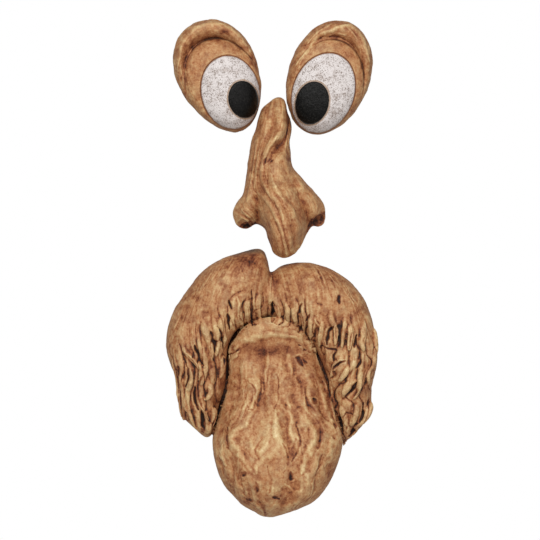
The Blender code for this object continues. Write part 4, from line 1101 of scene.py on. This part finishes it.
def makeEye(name, eye):
    # An egg in relief, moved along its normals by its grain, lumps and crests
    middle = eyeMiddle(eye)

    def egg(turn, inset=0.0):
        dx, dz = eggOffset(eye, turn, inset)
        return middle[0] + dx, middle[1] + dz

    def front(x, z, rho):
        # The higher of the lid's dome and the brow's roll, and on it the bulging ball and the raised pupil
        u, v = toEgg(eye, x, z)
        hood = smoothStep(-0.55, 0.75, v / halfLength)
        inward = np.minimum(0, (rho - eyeShape["browCrest"]) / eyeShape["browWidth"])
        high = mix(eyeShape["browFoot"], eyeShape["browHeight"], hood) * eyeShape["depth"]
        brow = high * np.maximum(0, 1 - inward**2) ** 0.9
        lid, inside = lidHeight(eye, u, v)
        crease = 0.0007 * np.exp(-(inside / 0.04) ** 2) * smoothStep(-0.75, -0.2, v / halfLength)
        crease = crease * smoothStep(-0.5, 0.0, u / halfLength)
        height = np.maximum(lid, brow) - crease + 0.0003 * hood * np.exp(-((rho - 0.92) / 0.025) ** 2)
        ball, share = ovalEdge(eye, "ball", x, z)
        lift = eyeShape["ballProud"] + eyeShape["ballBulge"] * np.maximum(0, 1 - share**2)
        height = height + lift * (1 - smoothStep(-1.1, -0.2, ball)) - 0.0007 * np.exp(-(ball / 0.45) ** 2)
        pupil, _ = ovalEdge(eye, "pupil", x, z)
        flat = lid + eyeShape["ballProud"] + eyeShape["ballBulge"] * 0.8 + eyeShape["pupilProud"]
        onPupil = 1 - smoothStep(-0.9, 0.05, pupil)
        return mix(height, np.maximum(height, flat), onPupil) - 0.0003 * np.exp(-((pupil - 0.4) / 0.35) ** 2)

    centre = fromEgg(eye, 0.0, eyeShape["lidMiddle"][1] / 2 * halfLength)
    obj = closedSkin(name + "_casting", eyeShape["rings"], eyeShape["turns"], reliefPlace(
        outline=egg, centre=centre, front=front,
        edge=lambda turn: relief["edgeShare"] * eyeShape["depth"],
        foot=lambda turn: egg(turn, inset=relief["undercut"]),
    ))
    flatBack(obj, fromEgg(eye, *(share * halfLength for share in eyeShape["socket"])))
    points, normals, x, z, w = measured(obj)
    u, v = toEgg(eye, x, z)
    ball, _ = ovalEdge(eye, "ball", x, z)
    pupil, _ = ovalEdge(eye, "pupil", x, z)
    # The brow's carved grain runs round the egg: it is measured in from the rim and round it
    angle = np.arctan2(v / eyeShape["length"], u / eyeShape["width"])
    rim = np.hypot(2 * u / eyeShape["width"], 2 * v / eyeShape["length"])
    grain = np.stack((rim * 28, angle * 30, 0 * rim), axis=1)
    lines = noise(grain * (0.55, 0.07, 1) + eye["side"] * 9, 3) * 0.7 + streaks(grain, 1.2, 0.12, 4) * 0.5
    lumps = layeredNoise(points / 0.008 + eye["side"] * 5, 4, 5)
    onWood = smoothStep(0.2, 1.6, ball)
    amount = smoothStep(0.0, 0.004, w) * onWood
    calm = mix(0.35, 1.0, smoothStep(0.62, 0.78, rim))
    lift = amount * calm * (0.00026 * lines + 0.00060 * lumps)
    wx, wz = wandered(points, 0.0035, 0.0006, 61)
    crest = strokeDepth(wx, wz, eye["crests"])
    lift -= amount * crest
    lift += smoothStep(0.0, 0.004, w) * (1 - onWood) * 0.00007 * layeredNoise(points / 0.0022, 2, 8)
    writePoints(obj.data, points + normals * lift[:, None])
    finishShape(obj, grain, onWood * (patchShare(x, z, eye["stainsAndPaintedLight"]) + crest / 0.0016), 0 * x, 0.12)
    _, inside = lidHeight(eye, u, v)
    # The painted crease, partly brown wash and partly painted shade under the hood, is 0 on the lid's edge
    # under the hood, and grows away from it, down and left
    faded = 2 - smoothStep(-0.6, 0.1, v / halfLength) - smoothStep(-0.5, 0, u / halfLength)
    crease = np.abs(inside) * 16 + faded * 3
    behind = 50 * (1 - smoothStep(0.003, 0.006, w))  # the painted eyeball stops short of the wall
    writeValues(obj.data, "marks", ball + behind, pupil + behind, crease + behind)
    return obj


def linear(hexColour):
    # sRGB hex to linear light: the shares over 0.04045 by ((share + 0.055) / 1.055)^2.4
    parts = [int(hexColour[k:k + 2], 16) / 255 for k in (1, 3, 5)]
    parts = [part / 12.92 if part <= 0.04045 else ((part + 0.055) / 1.055) ** 2.4 for part in parts]
    return (*parts, 1.0)


def addNode(tree, kind, settings=None, links=None):
    # Adds a node. Settings are its attributes, the values of its named or numbered inputs, or the stops of
    # its ramp; links are the nodes or outputs that feed its inputs.
    node = tree.nodes.new("ShaderNode" + kind)
    for key, value in (settings or {}).items():
        if key == "stops":
            elements = node.color_ramp.elements
            while len(elements) < len(value):
                elements.new(0.5)
            for element, (position, colour) in zip(elements, value):
                element.position = position
                element.color = linear(colour) if isinstance(colour, str) else (colour, colour, colour, 1)
        elif isinstance(key, str) and hasattr(node, key) and key not in node.inputs:
            setattr(node, key, value)
        else:
            node.inputs[key].default_value = linear(value) if isinstance(value, str) else value
    for key, source in (links or {}).items():
        tree.links.new(source.outputs[0] if isinstance(source, bpy.types.Node) else source, node.inputs[key])
    return node


woodPaint = {
    "tones": ((0.0, "#2b150a"), (0.13, "#522913"), (0.27, "#854a26"), (0.41, "#a66d42"), (0.54, "#b7875a"),
              (0.70, "#c7a373"), (0.86, "#dabf8d"), (1.0, "#ecdbb0")),
    "warm": "#9a5029", "bareDark": "#3c322b", "bareLight": "#685a4e", "washAndShadeDarkens": 0.33,
    "streak": (1.5, 11.0),  # millimetres across and along the grain
    # Noise laid over the tone: what it follows, the size of a cell, its layers, how far it moves the tone,
    # and its share of the bump. Sizes are in millimetres, but in streaks for what follows the grain.
    "layers": (("grain", 1.0, 3.0, 0.20, 0.5), ("grain", 0.36, 2.0, 0.15, 0.35),
               ("place", 20.0, 4.0, 0.34, 0.0), ("place", 3.2, 4.0, 0.50, 0.3),
               ("place", 1.1, 2.0, 0.44, 0.5)),
    "roughness": (0.80, -0.26),  # where the tone is 0, and how it changes up to 1
}


def paintedWood(name):
    # Polyresin cast from a bark carving, painted tan, washed with dark brown that stays in the hollows,
    # and drybrushed with cream on the ridges: it reads as weathered driftwood, matt with a faint satin on
    # the rubbed places
    material = bpy.data.materials.new(name)
    material.use_nodes = True
    tree = material.node_tree
    tree.nodes.clear()
    place = addNode(tree, "TexCoord").outputs["Object"]
    stored = addNode(tree, "Attribute", {"attribute_name": "paint"}).outputs["Vector"]
    grain = addNode(tree, "Attribute", {"attribute_name": "grain"}).outputs["Vector"]
    paint = addNode(tree, "SeparateXYZ", None, {0: stored}).outputs
    across, along = woodPaint["streak"]
    stretched = addNode(tree, "VectorMath", {"operation": "MULTIPLY", 1: (1 / across, 1 / along, 1)},
                        {0: grain})
    inMillimetres = addNode(tree, "VectorMath", {"operation": "SCALE", "Scale": 1 / millimetre}, {0: place})
    tone, height = paint[0], 0.0
    for follows, size, detail, share, bump in woodPaint["layers"]:
        marks = addNode(tree, "TexNoise", {"Scale": 1 / size, "Detail": detail, "Roughness": 0.63},
                        {"Vector": stretched if follows == "grain" else inMillimetres})
        centred = addNode(tree, "Math", {"operation": "SUBTRACT", 1: 0.5}, {0: marks})
        tone = addNode(tree, "Math", {"operation": "MULTIPLY_ADD", 1: share}, {0: centred, 2: tone})
        height = addNode(tree, "Math", {"operation": "MULTIPLY_ADD", 1: bump, 2: 0.0},
                         {0: centred, 2: height} if height else {0: centred})
    patchy = addNode(tree, "TexNoise", {"Scale": 0.16, "Detail": 4.0, "Roughness": 0.65},
                     {"Vector": inMillimetres})
    uneven = addNode(tree, "Math", {"operation": "MULTIPLY_ADD", 1: 2.0, 2: 0.0}, {0: patchy})
    washAndPaintedLight = addNode(tree, "Math", {"operation": "MULTIPLY"}, {0: paint[1], 1: uneven})
    tone = addNode(tree, "Math", {"operation": "MULTIPLY_ADD", 1: -woodPaint["washAndShadeDarkens"]},
                   {0: washAndPaintedLight, 2: tone})
    colour = addNode(tree, "ValToRGB", {"stops": woodPaint["tones"]}, {0: tone})
    red = addNode(tree, "ValToRGB", {"stops": ((0.45, 0.0), (0.64, 0.55))}, {0: patchy})
    stained = addNode(tree, "Math", {"operation": "MULTIPLY_ADD", 1: 0.45}, {0: washAndPaintedLight, 2: red})
    warm = {"data_type": "RGBA", "blend_type": "MULTIPLY", 0: 0.75, 7: woodPaint["warm"]}
    warmed = addNode(tree, "Mix", warm, {6: colour})
    colour = addNode(tree, "Mix", {"data_type": "RGBA"}, {0: stained, 6: colour, 7: warmed.outputs[2]})
    bareStops = ((0.3, woodPaint["bareDark"]), (0.7, woodPaint["bareLight"]))
    resin = addNode(tree, "ValToRGB", {"stops": bareStops}, {0: patchy})
    colour = addNode(tree, "Mix", {"data_type": "RGBA"}, {0: paint[2], 6: colour.outputs[2], 7: resin})
    dull, shine = woodPaint["roughness"]
    roughness = addNode(tree, "Math", {"operation": "MULTIPLY_ADD", 1: shine, 2: dull, "use_clamp": True},
                        {0: tone})
    bump = addNode(tree, "Bump", {"Strength": 0.6, "Distance": 0.0004}, {"Height": height})
    shader = addNode(tree, "BsdfPrincipled", {"IOR": 1.44},
                     {"Base Color": colour.outputs[2], "Roughness": roughness, "Normal": bump})
    addNode(tree, "OutputMaterial", None, {"Surface": shader})
    return material


eyePaint = {
    "whites": ((0.32, "#bfb3ad"), (0.50, "#d6cecb"), (1.0, "#e6e0dd")),
    "speck": "#6b5b50", "outline": "#7a4d2c", "pupil": "#040302", "pupilWornAndSheen": "#2a2825",
    "ring": "#9a7650", "crease": "#5c3821",
    "speckSize": 0.9, "patchSize": 6.0, "dashSize": 1.6,  # millimetres
}


def paintedEye(name):
    # The same drybrushed wood paint on lid and brow, with a hand-painted eyeball: off-white acrylic
    # scuffed down to brown specks, a thin brown line round it, and a satin black pupil with a worn edge,
    # mottled with grey that is partly wear and partly a painted sheen
    material = paintedWood(name)
    tree = material.node_tree
    shader = next(node for node in tree.nodes if node.type == "BSDF_PRINCIPLED")
    woodInputs = [shader.inputs[key] for key in ("Base Color", "Roughness", "Normal")]
    wood, woodRoughness, woodNormal = (entry.links[0].from_socket for entry in woodInputs)
    place = addNode(tree, "TexCoord").outputs["Object"]
    inMillimetres = addNode(tree, "VectorMath", {"operation": "SCALE", "Scale": 1 / millimetre}, {0: place})
    stored = addNode(tree, "Attribute", {"attribute_name": "marks"}).outputs["Vector"]
    # Millimetres outside the ball and outside the pupil, and the crease
    marks = addNode(tree, "SeparateXYZ", None, {0: stored}).outputs
    waver = addNode(tree, "TexNoise", {"Scale": 0.31, "Detail": 3.0, "Roughness": 0.6},
                    {"Vector": inMillimetres})
    patches = addNode(tree, "TexNoise", {"Scale": 1 / eyePaint["patchSize"], "Detail": 4.0, "Roughness": 0.7},
                      {"Vector": inMillimetres})
    dots = addNode(tree, "TexNoise", {"Scale": 1 / eyePaint["speckSize"], "Detail": 2.0, "Roughness": 0.8},
                   {"Vector": inMillimetres})
    dashes = addNode(tree, "TexNoise", {"Scale": 1 / eyePaint["dashSize"], "Detail": 2.0, "Distortion": 2.2},
                     {"Vector": inMillimetres})
    centred = addNode(tree, "Math", {"operation": "SUBTRACT", 1: 0.5}, {0: waver})
    ball = addNode(tree, "Math", {"operation": "MULTIPLY_ADD", 1: 1.1}, {0: centred, 2: marks[0]})
    pupil = addNode(tree, "Math", {"operation": "MULTIPLY_ADD", 1: 0.9}, {0: centred, 2: marks[1]})
    white = addNode(tree, "ValToRGB", {"stops": eyePaint["whites"]}, {0: patches})
    dotted = addNode(tree, "Math", {"operation": "MULTIPLY_ADD", 1: 0.3}, {0: patches, 2: dots})
    speckled = addNode(tree, "ValToRGB", {"stops": ((0.53, 0.85), (0.64, 0.0))}, {0: dotted})
    offMiddle = addNode(tree, "Math", {"operation": "SUBTRACT", 1: 0.5}, {0: dashes})
    nearMiddle = addNode(tree, "Math", {"operation": "ABSOLUTE"}, {0: offMiddle})
    scratched = addNode(tree, "ValToRGB", {"stops": ((0.0, 0.42), (0.020, 0.0))}, {0: nearMiddle})
    scuffed = addNode(tree, "Math", {"operation": "MAXIMUM"}, {0: speckled, 1: scratched})
    white = addNode(tree, "Mix", {"data_type": "RGBA", 7: eyePaint["speck"]}, {0: scuffed, 6: white})
    # A dark line in the lid's crease under the hood: partly brown wash, partly painted shade
    creaseWashAndShade = addNode(tree, "ValToRGB", {"stops": ((0.0, 0.7), (1.0, 0.0))}, {0: marks[2]})
    colour = addNode(tree, "Mix", {"data_type": "RGBA", 7: eyePaint["crease"]}, {0: creaseWashAndShade, 6: wood})
    onBall = addNode(tree, "MapRange", {1: -0.30, 2: -0.60}, {0: ball})
    colour = addNode(tree, "Mix", {"data_type": "RGBA"},
                     {0: onBall, 6: colour.outputs[2], 7: white.outputs[2]})
    # The pupil's grey mottle is partly wear and partly a painted sheen
    black = addNode(tree, "ValToRGB", {"stops": ((0.50, eyePaint["pupil"]), (0.80, eyePaint["pupilWornAndSheen"]))},
                    {0: dots})
    # Thin painted lines: full strength where the distance to an edge is near 0
    for source, offset, wide, strong, paint in ((ball, 0.15, (0.30, 0.75), 0.6, "outline"),
                                                (pupil, -0.40, (0.25, 0.75), 0.7, "ring")):
        moved = addNode(tree, "Math", {"operation": "ADD", 1: offset}, {0: source})
        away = addNode(tree, "Math", {"operation": "ABSOLUTE"}, {0: moved})
        line = addNode(tree, "MapRange", {1: wide[0], 2: wide[1], 3: strong, 4: 0.0}, {0: away})
        colour = addNode(tree, "Mix", {"data_type": "RGBA", 7: eyePaint[paint]},
                         {0: line, 6: colour.outputs[2]})
    onPupil = addNode(tree, "MapRange", {1: 0.0, 2: -0.25}, {0: pupil})
    colour = addNode(tree, "Mix", {"data_type": "RGBA"}, {0: onPupil, 6: colour.outputs[2], 7: black})
    roughness = addNode(tree, "Mix", {3: 0.40}, {0: onPupil, 2: woodRoughness})
    glint = addNode(tree, "MapRange", {3: 0.5, 4: 0.16}, {0: onPupil})
    worn = addNode(tree, "Math", {"operation": "MULTIPLY_ADD", 1: 0.7}, {0: patches, 2: dots})
    bump = addNode(tree, "Bump", {"Strength": 0.5, "Distance": 0.0003},
                   {"Height": worn, "Normal": woodNormal})
    for key, source in (("Base Color", colour.outputs[2]), ("Roughness", roughness.outputs[0]),
                        ("Specular IOR Level", glint.outputs[0]), ("Normal", bump.outputs[0])):
        tree.links.new(source, shader.inputs[key])
    return material


print("carving the eyes")
eyes = [makeEye("left_eye", leftEye), makeEye("right_eye", rightEye)]
print("carving the nose")
nose = makeNose()
print("carving the mouth")
mouth = makeMouth()

print("painting")
woodMaterial = paintedWood("drybrushedPolyresin")
eyeMaterial = paintedEye("paintedEyePolyresin")
for obj, material, node in ((eyes[0], eyeMaterial, "left_eye"), (eyes[1], eyeMaterial, "right_eye"),
                            (nose, woodMaterial, "nose"), (mouth, woodMaterial, "mouth")):
    obj.data.materials.clear()
    obj.data.materials.append(material)
    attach(obj, "root")
    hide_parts(node)

studio = {
    "floorDrop": -0.30, "floorSize": 0.9, "floorColour": "#e9e7e3",
    "worldColour": "#ffffff", "worldStrength": 0.38, "worldSeen": 1.0,
    "keyPower": 15.0, "keySize": 0.7, "keyPlace": (-0.25, -1.35, 0.72),
    "fillPower": 5.5, "fillSize": 1.2, "fillPlace": (0.7, -1.3, 0.2),
    "cameraDistance": 1.9, "view": 0.378, "aim": (-0.0014, -0.015, 0.07945),
}
print("setting the studio")
side = studio["floorSize"] / 2
floorPoints = np.array([(-side, -side, studio["floorDrop"]), (side, -side, studio["floorDrop"]),
                        (side, side, studio["floorDrop"]), (-side, side, studio["floorDrop"])])
floor = meshObject("studio_floor", floorPoints, (np.array([[0, 1, 2, 3]]),))
floorMaterial = bpy.data.materials.new("mattFloorPaint")  # an even, shineless ground for the casting's shadow
floorMaterial.use_nodes = True
floorMaterial.node_tree.nodes.clear()
floorShader = addNode(floorMaterial.node_tree, "BsdfPrincipled",
                      {"Base Color": studio["floorColour"], "Roughness": 0.85})
addNode(floorMaterial.node_tree, "OutputMaterial", None, {"Surface": floorShader})
floor.data.materials.append(floorMaterial)

# A white studio: its walls show white and light the object more softly than they look
world = bpy.data.worlds.new("studio")
world.use_nodes = True
background = world.node_tree.nodes["Background"]
background.inputs[0].default_value = linear(studio["worldColour"])
seen = addNode(world.node_tree, "LightPath").outputs["Is Camera Ray"]
strength = addNode(world.node_tree, "MapRange", {3: studio["worldStrength"], 4: studio["worldSeen"]},
                   {0: seen})
world.node_tree.links.new(strength.outputs[0], background.inputs[1])
bpy.context.scene.world = world
bpy.context.scene.view_settings.view_transform = "Standard"


def areaLight(name, place, size, power):
    # A square lamp at a place, turned so that its -z points at what the camera aims at
    lamp = bpy.data.lights.new(name, "AREA")
    lamp.shape = "SQUARE"
    lamp.size = size
    lamp.energy = power
    obj = linked(bpy.data.objects.new(name, lamp))
    obj.location = place
    obj.rotation_euler = (Vector(studio["aim"]) - Vector(place)).to_track_quat("-Z", "Y").to_euler()


areaLight("key", studio["keyPlace"], studio["keySize"], studio["keyPower"])
areaLight("fill", studio["fillPlace"], studio["fillSize"], studio["fillPower"])

camera = bpy.data.cameras.new("camera")
camera.sensor_width = 36.0
camera.lens = camera.sensor_width * studio["cameraDistance"] / studio["view"]
cameraObject = linked(bpy.data.objects.new("camera", camera))
cameraObject.location = (studio["aim"][0], studio["aim"][1] - studio["cameraDistance"], studio["aim"][2])
cameraObject.rotation_euler = (halfTurn / 2, 0, 0)
bpy.context.scene.camera = cameraObject

bpy.context.view_layer.update()
